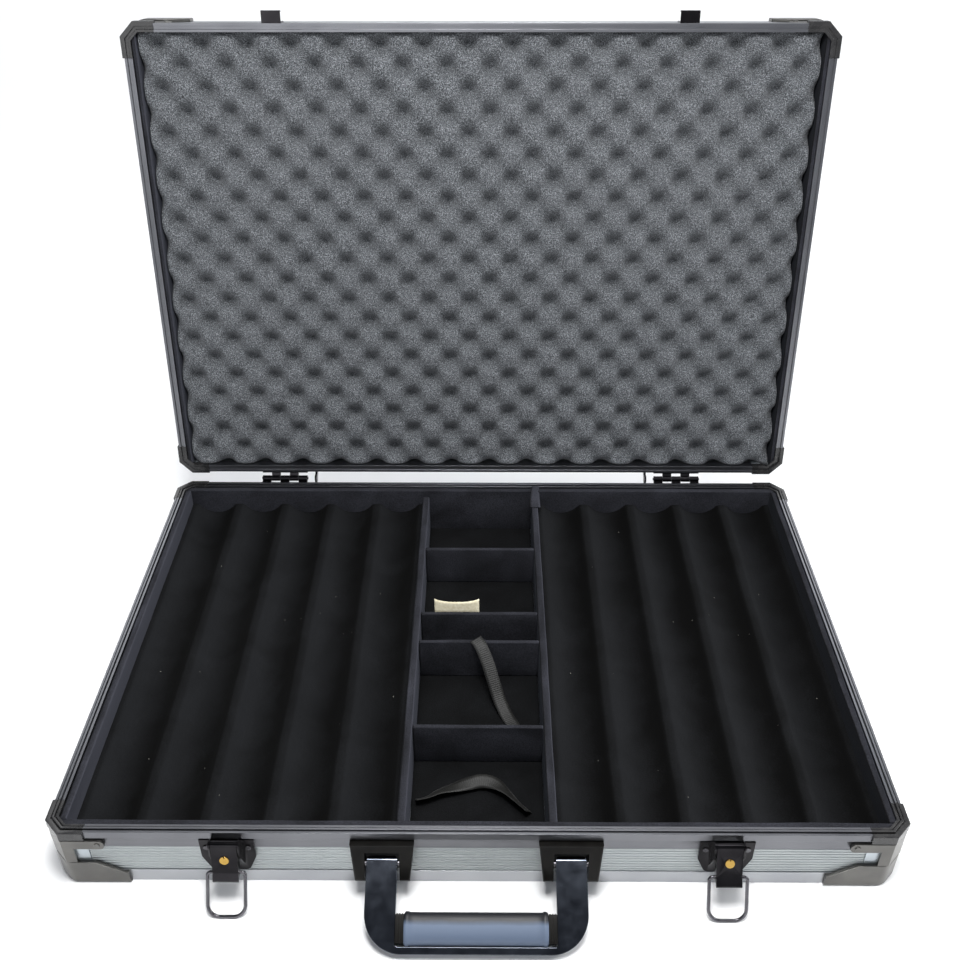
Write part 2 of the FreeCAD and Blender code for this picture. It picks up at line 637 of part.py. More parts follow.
def chip_tray():
    """The left tray: round-bottomed grooves from front to back, hollow below."""
    left, right = neg(INNER_X), "(-column_width / 2)"
    wide = f"({INNER_X} - column_width / 2)"
    count = int(value(wide) / value("groove_pitch") + 1e-6)
    floor_top = "(-ridge_drop - groove_sink - tray_wall)"
    solid = block("tray_block", left, right, neg(INNER_Y), INNER_Y, BOARD_TOP, "-ridge_drop")
    tools = [block("tray_hollow", f"{left} + tray_wall", f"{right} - tray_wall", f"-{INNER_Y} - 1",
                   f"{INNER_Y} + 1", f"{BOARD_TOP} - 1", floor_top)]
    middle = f"({left} + {wide} / 2)"
    axis_z = "(-ridge_drop - groove_sink + chip_radius)"
    for number in range(count):
        x = f"{middle} + groove_pitch * {number - (count - 1) / 2}"
        tools.append(rod(f"tray_groove_{number}", "Y", (x, axis_z), "chip_radius", f"-{INNER_Y} - 1",
                         f"{INNER_Y} + 1"))
    for number in range(count - 1):
        x = f"{middle} + groove_pitch * {number - (count - 2) / 2}"
        tools.append(block(f"tray_slot_{number}", f"{x} - ridge_slot / 2", f"{x} + ridge_slot / 2",
                           f"-{INNER_Y} - 1", f"{INNER_Y} + 1", f"{floor_top} - 1", "-ridge_drop - tray_wall"))
    return cut("tray", solid, tools)


def card_column():
    """Two long dividers, four cross dividers and a floor between the trays."""
    low, high = BOARD_TOP, "-divider_drop"
    long_one = block("divider", "-column_width / 2", neg(BAY_X), neg(INNER_Y), INNER_Y, low, high)
    node("left_divider", long_one, BASE_PLACE)
    node("right_divider", mirror(long_one, V(1, 0, 0)), BASE_PLACE)
    node("card_floor", block("floor", neg(BAY_X), BAY_X, neg(INNER_Y), INNER_Y, low, f"{low} + floor_thick"),
         BASE_PLACE)
    for number, centre in enumerate(CROSS_Y, start=1):
        piece = block(f"cross_{number}", neg(BAY_X), BAY_X, f"{centre} - cross_thick / 2",
                      f"{centre} + cross_thick / 2", f"{low} + floor_thick", high)
        node(f"cross_divider_{number}", piece, BASE_PLACE)


CROSS_Y = [f"({INNER_Y} - bay_one)", f"({INNER_Y} - bay_one - bay_two)",
           f"({INNER_Y} - bay_one - bay_two - bay_three)",
           f"({INNER_Y} - bay_one - bay_two - bay_three - bay_four)"]
FLOOR_Z = f"({BOARD_TOP} + floor_thick)"

linings()
tray = chip_tray()
node("left_chip_tray", tray, BASE_PLACE)
node("right_chip_tray", mirror(tray, V(1, 0, 0)), BASE_PLACE)
card_column()


def loose_pieces():
    """The blank card tag and the two pull ribbons, as plain solids clear of the boards."""
    tag_y = f"({CROSS_Y[1]} + cross_thick / 2 + 1.5)"
    node("card_tag", block("tag", "-tag_wide", "0", tag_y, f"{tag_y} + tag_thick", f"{FLOOR_Z} + soft_gap",
                           f"{FLOOR_Z} + soft_gap + tag_tall"), BASE_PLACE)
    rest = f"({FLOOR_Z} + soft_gap)"
    slope = [("0", "-divider_drop"), ("-ribbon_thick", "-divider_drop"),
             ("-ribbon_fall", f"{rest} + ribbon_thick"), ("-ribbon_run", f"{rest} + ribbon_thick"),
             ("-ribbon_run", rest), ("-ribbon_fall", rest)]
    strip = prism("ribbon_a", "YZ_Plane", [slope], "-ribbon_wide / 2", "ribbon_wide")
    head = f"{CROSS_Y[2]} - cross_thick / 2 - soft_gap - ribbon_wide / 2 * sin(ribbon_turn)"
    turned = moved("ribbon_a_turned", strip, (
        f"create(<<placement>>; create(<<vector>>; 1; {head}; 0); "
        "create(<<rotation>>; create(<<vector>>; 0; 0; 1); ribbon_turn))"))
    node("back_ribbon", turned, BASE_PLACE)
    middle = f"({CROSS_Y[3]} - 22)"
    left, right = f"(soft_gap + 0.5 - {BAY_X})", f"({BAY_X} - 8)"
    band = [(left, f"{middle} - 18"), (left, f"{middle} - 8"), ("0", f"{middle} + 5"),
            (right, f"{middle} - 18"), (f"{right} - 6", f"{middle} - 26"), ("0", f"{middle} - 6")]
    node("front_ribbon", prism("ribbon_b", "XY_Plane", [band], rest, "ribbon_thick"), BASE_PLACE)


loose_pieces()


# ---------------------------------------------------------------- lid lining and foam (half frame of the lid)
def lid_filling():
    """A thin lining board at each side and the foam pad between them."""
    low, high = "board_thick - lid_height", "-liner_drop"
    outer_x, outer_y = f"({HALF_W} - rail_width)", f"({HALF_D} - rail_width)"
    inner_x = f"({outer_x} - lid_liner_thick)"
    left = block("lid_lining_y", neg(outer_x), neg(inner_x), neg(outer_y), outer_y, low, high)
    node("lid_linings", both_sides(left), LID_PLACE)
    x, y = f"({inner_x} - foam_gap)", f"({outer_y} - foam_end_gap)"
    node("lid_foam", block("foam", neg(x), x, neg(y), y, f"{low} + soft_gap", "-foam_drop"), LID_PLACE)


lid_filling()


# ---------------------------------------------------------------- hinges
def hinge_part(name, first, fit):
    """One leaf of the left hinge about the hinge line: knuckles at every other place from first."""
    step = "(hinge_width / 5)"
    edge = "(-hinge_place - hinge_width / 2)"
    face = "-hinge_out"
    pieces = [block(name + "_leaf", edge, f"{edge} + hinge_width", face, f"{face} + leaf_thick",
                    "-leaf_drop - leaf_tall", "-leaf_drop")]
    for number in range(first, 5, 2):
        start = f"{edge} + {step} * {number} + knuckle_gap / 2"
        end = f"{edge} + {step} * {number + 1} - knuckle_gap / 2"
        pieces.append(rod(f"{name}_knuckle_{number}", "X", ("0", "0"), "knuckle_radius", start, end))
        web = [(f"{face} + leaf_thick / 2", "-leaf_drop - 0.2"),
               (f"{face} + leaf_thick / 2", "-leaf_drop - 2.6"),
               ("-0.5", "-knuckle_radius + 0.3"), ("-1.6", "-0.4")]
        pieces.append(prism(f"{name}_web_{number}", "YZ_Plane", [web], start, f"({end}) - ({start})"))
    whole = join(name + "_whole", pieces)
    bore = rod(name + "_bore", "X", ("0", "0"), f"hinge_pin + {fit}", f"{edge} - 1",
               f"{edge} + hinge_width + 1")
    holes = [rod(f"{name}_hole_{number}", "Y", spot, "rivet_shank + fixed_fit", f"{face} - 1", f"{face} + 3")
             for number, spot in enumerate(HINGE_RIVETS)]
    return cut(name, whole, [bore] + holes)


def hinge_rivet(number, spot):
    """A leaf rivet: its head on the leaf and its shank down to the rail's flange."""
    face = "-hinge_out"
    return join(f"hinge_rivet_{number}", [
        rod(f"hinge_head_{number}", "Y", spot, "leaf_rivet_head", f"{face} + leaf_thick",
            f"{face} + leaf_thick + leaf_rivet_rise"),
        rod(f"hinge_shank_{number}", "Y", spot, "rivet_shank", f"{face} - band_inset",
            f"{face} + leaf_thick + leaf_rivet_rise / 2")])


HINGE_RIVETS = [(f"-hinge_place + {step} * hinge_width / 3.4", "-leaf_drop - leaf_tall * 0.5")
                for step in (-1, 0, 1)]
HINGE_PLACE = place(y=HINGE_Y, z="base_height")
base_leaf = hinge_part("hinge_lower", 0, "fixed_fit")
node("base_hinge_leaves", both_sides(base_leaf), HINGE_PLACE)
pin = rod("hinge_rod", "X", ("0", "0"), "hinge_pin", "-hinge_place - hinge_width / 2 - 0.5",
          "-hinge_place + hinge_width / 2 + 0.5")
node("hinge_pins", both_sides(pin), HINGE_PLACE)

# The lid's leaf is the base leaf's shape turned over, so its rim plane is the lid's when shut.
upper = hinge_part("hinge_upper", 1, "running_fit")
shut_leaf = mirror(upper, V(0, 0, 1))
LID_HINGE_PLACE = place(y=HINGE_Y, z="base_height", turn="-lid_angle")
node("lid_hinge_leaves", both_sides(shut_leaf), LID_HINGE_PLACE)
hinge_rivets = [hinge_rivet(number, spot) for number, spot in enumerate(HINGE_RIVETS)]
node("base_hinge_rivets", [copy for rivet in hinge_rivets for copy in both_sides(rivet)], HINGE_PLACE)
shut_rivets = [mirror(rivet, V(0, 0, 1)) for rivet in hinge_rivets]
node("lid_hinge_rivets", [copy for rivet in shut_rivets for copy in both_sides(rivet)], LID_HINGE_PLACE)


def stop_plate():
    """A thin plate on the lid beside a hinge, rounded about the hinge line, that stops the opening."""
    x = "(-hinge_place + stay_place)"
    disc = rod("stay_disc", "X", ("0", "0"), "stay_radius", x, f"{x} + stay_thick")
    arm = [("-hinge_out", "leaf_drop + lid_gap + 1"), ("-hinge_out", "leaf_drop + lid_gap + 9"),
           ("stay_radius - 0.8", "1.5"), ("-stay_radius + 0.6", "1.5")]
    return join("stay", [disc, prism("stay_arm", "YZ_Plane", [arm], x, "stay_thick")])


node("lid_stop_plates", both_sides(stop_plate()), LID_HINGE_PLACE)


# ---------------------------------------------------------------- handle
HANDLE_DROP = "(base_height - handle_pivot_drop)"
HANDLE_REST = (f"(asin({HANDLE_DROP} / sqrt(handle_reach ^ 2 + handle_thick ^ 2 / 4)) "
               "- atan(handle_thick / 2 / handle_reach))")
HANDLE_PLACE = place(y=f"-{HALF_D} - handle_pivot_out", z="base_height - handle_pivot_drop", turn=HANDLE_REST)
ARM_IN = "(handle_place - handle_arm / 2)"
ARM_OUT = "(handle_place + handle_arm / 2)"


def handle_frame():
    """The flat bow: two arms with eyes for the pins, and a strip along the outer edge."""
    top, low, strip = "handle_tail", "-handle_reach", "(handle_strip - handle_reach)"
    ring = [(neg(ARM_OUT), top), (neg(ARM_OUT), low), (ARM_OUT, low), (ARM_OUT, top), (ARM_IN, top),
            (ARM_IN, strip), (neg(ARM_IN), strip), (neg(ARM_IN), top)]
    body = prism("handle_bow", "XY_Plane", [ring], "-handle_thick / 2", "handle_thick")
    outer, reach = value(ARM_OUT), value("handle_reach")
    inner, inside = value(ARM_IN), value(strip)
    round_edges(body, "handle_round", lambda e: upright(e) and abs(abs(e.BoundBox.Center.x) - outer) < 0.01
                and abs(e.BoundBox.Center.y + reach) < 0.01)
    round_edges(body, "handle_inner_round", lambda e: upright(e)
                and abs(abs(e.BoundBox.Center.x) - inner) < 0.01
                and abs(e.BoundBox.Center.y - inside) < 0.01)
    round_edges(body, "handle_thick / 2 - 0.3", lambda e: abs(e.BoundBox.YMin - value("handle_tail")) < 0.01)
    bore = rod("handle_eye", "X", ("0", "0"), "handle_pin + running_fit", f"-{ARM_OUT} - 1", f"{ARM_OUT} + 1")
    return cut("handle_frame_body", body, [bore])


def handle_grip():
    low = "(handle_strip - handle_reach)"
    ring = [(low, "-grip_thick / 2"), (f"{low} + grip_wide", "-grip_thick / 2"),
            (f"{low} + grip_wide", "grip_thick / 2"), (low, "grip_thick / 2")]
    body = prism("grip", "YZ_Plane", [ring], "-grip_half", "2 * grip_half")
    round_edges(body, "grip_round", lambda e: e.BoundBox.XLength > value("grip_half"))
    return body


def grip_collar():
    """The short black collar between the grip and the left arm, clear of the bow's inner rounding."""
    low = "(handle_strip - handle_reach)"
    near, far = f"{low} + handle_inner_round", f"{low} + grip_wide - 2"
    ring = [(near, "-collar_thick / 2"), (far, "-collar_thick / 2"), (far, "collar_thick / 2"),
            (near, "collar_thick / 2")]
    body = prism("collar", "YZ_Plane", [ring], neg(ARM_IN), f"{ARM_IN} - grip_half")
    round_edges(body, "1.5", lambda e: e.BoundBox.XLength > 1)
    return body


node("handle_frame", handle_frame(), HANDLE_PLACE)
node("handle_grip", handle_grip(), HANDLE_PLACE)
node("handle_collars", both_sides(grip_collar()), HANDLE_PLACE)


def handle_bracket():
    """The left moulded bracket: a wedge with a window for the arm, open at the front and foot."""
    half = "(handle_arm / 2 + bracket_room + bracket_side)"
    back, top = f"(band_inset - {HALF_D})", "-bracket_top + 0.5"
    low = f"{top} - bracket_high"
    ring = [(back, top), (f"(-{HALF_D} - bracket_brow)", top), (f"(-{HALF_D} - bracket_chin)", f"{low} + 4"),
            (f"(-{HALF_D} - bracket_chin + 2)", low), (back, low)]
    wedge = prism("bracket_wedge", "YZ_Plane", [ring], f"-handle_place - {half}", f"2 * {half}")
    for sign in (-1, 1):
        edge = f"(-handle_place + {sign} * {half})"
        lean = [(edge, top), (f"{edge} - {sign} * bracket_taper", f"{low} - 1"),
                (f"{edge} + {sign}", f"{low} - 1"), (f"{edge} + {sign}", top)]
        pocket(wedge, "XZ_Plane", [lean], f"{HALF_D} + 30", "40")
    front = -value(f"{HALF_D} + bracket_brow") + 0.01
    round_edges(wedge, "1.5", lambda e: e.BoundBox.YMax < front and e.BoundBox.XLength < 6
                and e.BoundBox.ZLength > 5)
    arm = "(handle_arm / 2 + bracket_room)"
    window = block("bracket_window", f"-handle_place - {arm}", f"-handle_place + {arm}", f"-{HALF_D} - 30",
                   f"{back} - bracket_back", f"{low} - 1", f"{top} - bracket_head")
    pin_bore = rod("bracket_bore", "X", (f"-{HALF_D} - handle_pivot_out", "-handle_pivot_drop"),
                   "handle_pin + fixed_fit", f"-handle_place - {half} + pin_wall",
                   f"-handle_place + {half} - pin_wall")
    return cut("bracket_body_left", wedge, [window, pin_bore])


node("handle_brackets", both_sides(handle_bracket()), BASE_PLACE)
PIN_HALF = "(handle_arm / 2 + bracket_room + bracket_side - pin_wall)"
handle_rod = rod("handle_rod", "X", (f"-{HALF_D} - handle_pivot_out", "-handle_pivot_drop"), "handle_pin",
                 f"-handle_place - {PIN_HALF}", f"-handle_place + {PIN_HALF}")
node("handle_pins", both_sides(handle_rod), BASE_PLACE)


# ---------------------------------------------------------------- latches
# Local frame of a latch: the lever pin is the origin, the middle of the latch is x = 0.
PLATE_Y = "(lever_pivot_out + band_inset)"
EAR_IN = "(lever_wide / 2 + lever_room)"


def latch_plate():
    """The shield shaped plate on the case with two ears for the lever pin."""
    top, low = "-bracket_top + lever_pivot_drop + 1.5", "-bracket_top + lever_pivot_drop + 1.5 - plate_tall"
    waist = f"{top} - plate_tall * 0.55"
    ring = [("-plate_wide / 2", top), ("-plate_wide / 2", waist), ("-plate_foot / 2", low),
            ("plate_foot / 2", low), ("plate_wide / 2", waist), ("plate_wide / 2", top)]
    sheet_part = prism("latch_sheet", "XZ_Plane", [ring], neg(PLATE_Y), "plate_thick")
    round_edges(sheet_part, "5", lambda e: e.BoundBox.XLength < 1e-6 and e.BoundBox.ZLength < 1e-6
                and e.BoundBox.ZMax < value(top) - 1)
    ears = []
    for side, start in (("left", f"-{EAR_IN} - ear_thick"), ("right", EAR_IN)):
        disc = rod(f"ear_disc_{side}", "X", ("0", "0"), "ear_round", start, f"{start} + ear_thick")
        web = [(f"{PLATE_Y} - plate_thick / 2", "-ear_drop"), (f"{PLATE_Y} - plate_thick / 2", "-2"),
               ("0.8", "ear_round - 0.6"), ("-ear_round + 0.2", "-0.8"), ("-ear_round - 0.6", "-7"),
               ("1", "-ear_drop * 0.72")]
        ears += [disc, prism(f"ear_web_{side}", "YZ_Plane", [web], start, "ear_thick")]
    whole = join("latch_plate_whole", [sheet_part] + ears)
    bore = rod("ear_bore", "X", ("0", "0"), "lever_pin + fixed_fit", "-plate_wide", "plate_wide")
    holes = [rod(f"rivet_hole_{side}", "Y",
                 (f"{sign} * (plate_wide / 2 - plate_rivet_in)", "-plate_rivet_down"),
                 "rivet_shank + fixed_fit", "0", "20") for side, sign in (("left", -1), ("right", 1))]
    return cut("latch_plate_body", whole, [bore] + holes)


def latch_rivets():
    """Two rivets: a low head on the plate and a shank through it."""
    made = []
    for side, sign in (("left", -1), ("right", 1)):
        spot = (f"{sign} * (plate_wide / 2 - plate_rivet_in)", "-plate_rivet_down")
        face = f"({PLATE_Y} - plate_thick)"
        made.append(join(f"latch_rivet_{side}", [
            rod(f"rivet_head_{side}", "Y", spot, "plate_rivet_head", f"{face} - plate_rivet_rise", face),
            rod(f"rivet_shank_{side}", "Y", spot, "rivet_shank", f"{face} - plate_rivet_rise / 2", PLATE_Y)]))
    return made


FACE_TOP = ("-2.8", "0")
FACE_LOW = ("-8", "-19")


def latch_lever():
    """The cover lever: a barrel on its pin, a slanted face with the lock and a finger tongue."""
    ring = [FACE_TOP, FACE_LOW, ("-11", "-23.5"), ("-10.5", "-25"), ("-8.2", "-23.6"), ("-3.5", "-23"),
            ("1.5", "-2"), ("1.2", "0")]
    side = prism("lever_side", "YZ_Plane", [ring], "-lever_wide / 2", "lever_wide")
    barrel = rod("lever_tube", "X", ("0", "0"), "lever_barrel", "-lever_wide / 2", "lever_wide / 2")
    whole = join("lever_whole", [side, barrel])
    bore = rod("lever_bore", "X", ("0", "0"), "lever_pin + running_fit", "-lever_wide", "lever_wide")
    eyes = [rod("lever_eye_left", "X", ("-bail_out", "-bail_drop"), "bail_wire + running_fit", "-lever_wide",
                "-bail_foot + 0.3"),
            rod("lever_eye_right", "X", ("-bail_out", "-bail_drop"), "bail_wire + running_fit",
                "bail_foot - 0.3", "lever_wide")]
    seat = lock_rod("lock_bore", "running_fit", "lock_deep + 0.2", "6")
    return cut("lever_body", whole, [bore, seat] + eyes)


def face_frame():
    """The lever face's angle from upright and the lock's centre on it."""
    lean = f"atan(({FACE_TOP[0]} - ({FACE_LOW[0]})) / ({FACE_TOP[1]} - ({FACE_LOW[1]})))"
    y = f"({FACE_TOP[0]} - lock_down * sin({lean}))"
    z = f"({FACE_TOP[1]} - lock_down * cos({lean}))"
    return lean, y, z


def lock_rod(name, room, below, above):
    """A cylinder square to the lever face at the lock, from below the face to above it."""
    lean, y, z = face_frame()
    bar = doc.addObject("Part::Cylinder", name)
    bind(bar, "Radius", f"lock_radius + {room}")
    bind(bar, "Height", f"{below} + {above}")
    bind(bar, "Placement", (
        f"create(<<placement>>; create(<<vector>>; 0; {y} + ({below}) * cos({lean}); "
        f"{z} - ({below}) * sin({lean})); "
        f"create(<<rotation>>; create(<<vector>>; 1; 0; 0); 90 deg - {lean}))"))
    return bar


def lock_barrel():
    """The brass key barrel with its slot."""
    lean, y, z = face_frame()
    slot = doc.addObject("Part::Box", "lock_slot")
    for prop, number in (("Length", "0.8"), ("Width", "3.6"), ("Height", "6")):
        bind(slot, prop, number)
    shallow = "0.9"
    bind(slot, "Placement", (
        f"create(<<placement>>; create(<<vector>>; -0.4; {y} + ({shallow}) * cos({lean}) + 1.8 * sin({lean}); "
        f"{z} - ({shallow}) * sin({lean}) + 1.8 * cos({lean})); "
        f"create(<<rotation>>; create(<<vector>>; 1; 0; 0); 90 deg - {lean}))"))
    return cut("lock_body", lock_rod("lock_bar", "0", "lock_deep", "lock_rise"), [slot])


def bail_wire():
    """The wire loop, hanging straight down from its eye: two in-turned feet, two legs and a bowed end."""
    half, reach, foot = value("bail_half"), value("bail_reach"), value("bail_foot")
    wire, bow, bend = value("bail_wire"), value("bail_bow"), 2.2
    start, corner = V(-foot, 0, 0), V(-half, 0, 0)
    leg_top = V(-half, 0, -bend)
    top_mid = V(-half + bend * (1 - math.sqrt(0.5)), 0, -bend * (1 - math.sqrt(0.5)))
    leg_low = V(-half, 0, bow - reach)
    low_mid = V(-half + bow * (1 - math.sqrt(0.5)), 0, -reach + bow * (1 - math.sqrt(0.5)))
    low_in = V(-half + bow, 0, -reach)

    def across(spot):
        return V(-spot.x, spot.y, spot.z)

    turn = V(corner.x + bend, 0, 0)
    half_path = [Part.LineSegment(start, turn), Part.Arc(turn, top_mid, leg_top),
                 Part.LineSegment(leg_top, leg_low), Part.Arc(leg_low, low_mid, low_in)]
    other = [Part.Arc(across(low_in), across(low_mid), across(leg_low)),
             Part.LineSegment(across(leg_low), across(leg_top)),
             Part.Arc(across(leg_top), across(top_mid), across(turn)),
             Part.LineSegment(across(turn), across(start))]
    edges = [part.toShape() for part in half_path + [Part.LineSegment(low_in, across(low_in))] + other]
    path = Part.Wire(edges)
    ring = Part.Wire([Part.Circle(start, V(1, 0, 0), wire).toShape()])
    loop = path.makePipeShell([ring], True, False)
    wanted = math.pi * wire ** 2 * path.Length
    if abs(loop.Volume - wanted) > 0.01 * wanted:
        raise RuntimeError("bail wire: the swept volume doesn't match its length")
    piece = doc.addObject("Part::Feature", "bail_loop")
    piece.Shape = loop
    return piece


def lid_catch():
    """A catch on the lid's front, in the hinge frame of the shut lid: a plate with an upturned lip."""
    face = f"(-{HALF_D} - {HINGE_Y})"
    low = "(lid_gap + catch_low)"
    under_lip, top, lip = "lid_gap + rail_lip + 0.2", "lid_gap + catch_tall", f"{low} + catch_lip"
    tip, back, front = f"{face} - catch_out", f"{face} + band_inset", f"{face} - 0.8"
    ring = [(back, under_lip), (back, top), (front, top), (front, lip), (f"{tip} + 1.2", lip),
            (f"{tip} + 1.2", f"{low} + catch_tip"), (tip, f"{low} + catch_tip"), (tip, low),
            (face, low), (face, under_lip)]
    return prism("catch", "YZ_Plane", [ring], "-latch_place - catch_wide / 2", "catch_wide")


plate = latch_plate()
rivets = latch_rivets()
lever = latch_lever()
barrel = lock_barrel()
bail = bail_wire()
lever_rod = rod("lever_rod", "X", ("0", "0"), "lever_pin", f"-{EAR_IN} - ear_thick", f"{EAR_IN} + ear_thick")
PIN_Y = f"-{HALF_D} - lever_pivot_out"
PIN_Z = "base_height - lever_pivot_drop"

groups = {"plates": [], "pins": [], "rivets": []}
for side, sign, lift in (("left", "-1", "lever_lift_left"), ("right", "1", "lever_lift_right")):
    x = f"{sign} * latch_place"
    fixed, raised = place(x, PIN_Y, PIN_Z), place(x, PIN_Y, PIN_Z, neg(lift))
    groups["plates"].append(moved(f"{side}_latch_plate", plate, fixed))
    groups["pins"].append(moved(f"{side}_lever_rod", lever_rod, fixed))
    groups["rivets"] += [moved(f"{side}_{rivet.Name}", rivet, fixed) for rivet in rivets]
    node(f"{side}_latch_lever", lever, raised)
    node(f"{side}_lock_barrel", barrel, raised)
    eye_y = f"({PIN_Y} - bail_out * cos({lift}) - bail_drop * sin({lift}))"
    eye_z = f"({PIN_Z} - bail_drop * cos({lift}) + bail_out * sin({lift}))"
    swing = f"acos(({eye_z} - bail_wire) / bail_reach)"
    node(f"{side}_bail", bail, place(x, eye_y, eye_z, f"-{swing}"))
node("latch_plates", groups["plates"])
node("lever_pins", groups["pins"])
node("latch_rivets", groups["rivets"])
node("lid_catches", both_sides(lid_catch()), LID_HINGE_PLACE)


# ---------------------------------------------------------------- check and write
doc.recompute()
for obj in doc.Objects:
    if "Invalid" in obj.State or "Error" in obj.State:
        raise RuntimeError(f"{obj.Name} failed: {obj.State}")
for piece in NODES:
    if piece.Shape.isNull() or not piece.Shape.isValid() or not piece.Shape.Solids:
        raise RuntimeError(f"{piece.Label} has no valid solid")

os.makedirs("parts", exist_ok=True)
for piece in NODES:
    solids = piece.Shape.Solids
    shape = solids[0] if len(solids) == 1 else Part.makeCompound(solids)
    shape.exportStep(f"parts/{piece.Label}.step")
    box = shape.BoundBox
    print(f"{piece.Label:24s} {len(solids)} solid(s) {shape.Volume / 1000:9.2f} cm3  "
          f"x {box.XMin:7.1f} {box.XMax:7.1f}  y {box.YMin:7.1f} {box.YMax:7.1f}  "
          f"z {box.ZMin:7.1f} {box.ZMax:7.1f}")
print(f"{len(NODES)} nodes; handle rests {value(HANDLE_REST):.2f} degrees below level")
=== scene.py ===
# %% [markdown]
# # A poker chip case, open
#
# The case is a shallow box of aluminium faced boards held together by aluminium edge rails and steel
# corners. Its base holds two flocked chip trays and a column of velvet lined bays for cards, its lid holds
# a sheet of egg-crate foam, and its front carries a folding handle and two lever latches.
#
# The frame gives every solid of the design in its place. This file dresses it: hard parts are taken from
# the frame with their edges broken and their facets smoothed, soft parts are made anew, and each surface
# gets a finish named for what it is made of.

# %% Load the frame
import json
import math

import bmesh
import bpy
from mathutils import Matrix, Vector, noise


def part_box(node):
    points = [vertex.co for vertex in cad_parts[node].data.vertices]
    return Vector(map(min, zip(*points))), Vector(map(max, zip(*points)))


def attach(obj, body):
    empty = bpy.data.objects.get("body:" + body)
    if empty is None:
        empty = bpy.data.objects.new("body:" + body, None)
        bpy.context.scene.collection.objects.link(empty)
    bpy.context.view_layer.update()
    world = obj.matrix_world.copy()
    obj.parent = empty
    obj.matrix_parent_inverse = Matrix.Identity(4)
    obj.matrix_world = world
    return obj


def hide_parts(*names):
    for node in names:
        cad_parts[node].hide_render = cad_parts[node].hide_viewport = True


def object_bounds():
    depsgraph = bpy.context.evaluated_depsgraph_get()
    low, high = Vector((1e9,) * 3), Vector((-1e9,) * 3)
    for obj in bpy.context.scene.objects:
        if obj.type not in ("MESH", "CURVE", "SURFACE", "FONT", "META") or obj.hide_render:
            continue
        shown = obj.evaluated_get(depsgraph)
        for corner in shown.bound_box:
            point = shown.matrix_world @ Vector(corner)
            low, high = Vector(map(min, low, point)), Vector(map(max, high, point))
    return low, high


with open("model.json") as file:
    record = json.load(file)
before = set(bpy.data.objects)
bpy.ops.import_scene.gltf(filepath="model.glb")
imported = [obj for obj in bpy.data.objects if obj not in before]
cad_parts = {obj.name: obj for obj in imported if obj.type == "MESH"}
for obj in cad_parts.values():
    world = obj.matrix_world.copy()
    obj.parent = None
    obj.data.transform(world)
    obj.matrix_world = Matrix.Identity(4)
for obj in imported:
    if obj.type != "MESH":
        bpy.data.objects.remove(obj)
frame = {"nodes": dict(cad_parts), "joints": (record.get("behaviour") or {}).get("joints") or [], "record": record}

cad_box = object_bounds()
scene = bpy.context.scene
bodies = frame["record"]["behaviour"]["bodies"]
body_of_node = {name: body for body, names in bodies.items() for name in names}
slot_of_node = {part["node"]: part["material_slot"] for part in frame["record"]["subparts"]}
joints = {joint["name"]: joint for joint in frame["joints"]}

# %% [markdown]
# ## Small tools for nodes and colours
#
# Colours are chosen as sRGB hex values, because that is how swatches are read, but shaders count in linear
# light, so one function turns them. Sizes of patterns are given in millimetres and turned into a texture's
# scale. One function adds any node, to a material or to a geometry tree, with its settings and its links.

# %% Tools for nodes and colours
MM = 0.001


def linear(swatch):
    """An sRGB hex colour as linear RGBA."""
    channels = [int(swatch[i:i + 2], 16) / 255 for i in (1, 3, 5)]
    return [c / 12.92 if c <= 0.04045 else ((c + 0.055) / 1.055) ** 2.4 for c in channels] + [1.0]


def per_mm(size):
    """The texture scale whose features are about this many millimetres wide."""
    return 1000 / size


def add(tree, kind, inputs=None, **settings):
    """A node with its settings; an input is a value or the socket that feeds it."""
    made = tree.nodes.new(kind)
    for name, setting in settings.items():
        setattr(made, name, setting)
    for name, source in (inputs or {}).items():
        if isinstance(source, bpy.types.NodeSocket):
            tree.links.new(source, made.inputs[name])
        else:
            made.inputs[name].default_value = source
    return made


def arithmetic(tree, operation, first, second=0.0):
    return add(tree, "ShaderNodeMath", {0: first, 1: second}, operation=operation).outputs[0]


def new_material(name):
    """An empty node material: the material, its tree and the piece's own coordinates."""
    material = bpy.data.materials.new(name)
    material.use_nodes = True
    tree = material.node_tree
    tree.nodes.clear()
    place = add(tree, "ShaderNodeTexCoord").outputs["Object"]
    return material, tree, place


def close_material(material, tree, inputs):
    """Ends the material in one Principled shader with these inputs."""
    shader = add(tree, "ShaderNodeBsdfPrincipled", inputs)
    add(tree, "ShaderNodeOutputMaterial", {"Surface": shader.outputs["BSDF"]})
    print(f"finish: {material.name}")
    return material


def ramp(tree, factor, stops):
    """A colour ramp over (position, hex) stops."""
    made = add(tree, "ShaderNodeValToRGB", {"Fac": factor})
    band = made.color_ramp
    while len(band.elements) < len(stops):
        band.elements.new(0.5)
    for element, (position, swatch) in zip(band.elements, stops):
        element.position = position
        element.color = linear(swatch)
    return made.outputs["Color"]


def spread(tree, factor, low, high):
    """The factor spread from low to high, clamped."""
    made = add(tree, "ShaderNodeMapRange", {"Value": factor, "To Min": low, "To Max": high})
    return made.outputs["Result"]


def bump(tree, height, depth_mm, strength=1.0):
    """A bump whose full relief is depth_mm millimetres."""
    made = add(tree, "ShaderNodeBump", {"Height": height, "Distance": depth_mm * MM, "Strength": strength})
    return made.outputs["Normal"]


# %% [markdown]
# ## Anodised aluminium
#
# The rails are extruded aluminium, anodised to a satin silver. The die leaves fine lines along each rail,
# so the eye gets a soft stretched highlight. The lines follow the piece, not the room: every rail carries
# an attribute called grain, whose X is the distance along it, and a noise stretched along that X gives
# both the roughness and a very low bump. Real die lines are hundredths of a millimetre wide; they are
# drawn at a third of a millimetre so that they show.

# %% Aluminium finishes
LINE_STRETCH = (0.02, 1.0, 1.0)     # die lines run fifty times longer than they are wide
LINE_RELIEF_MM = 0.004


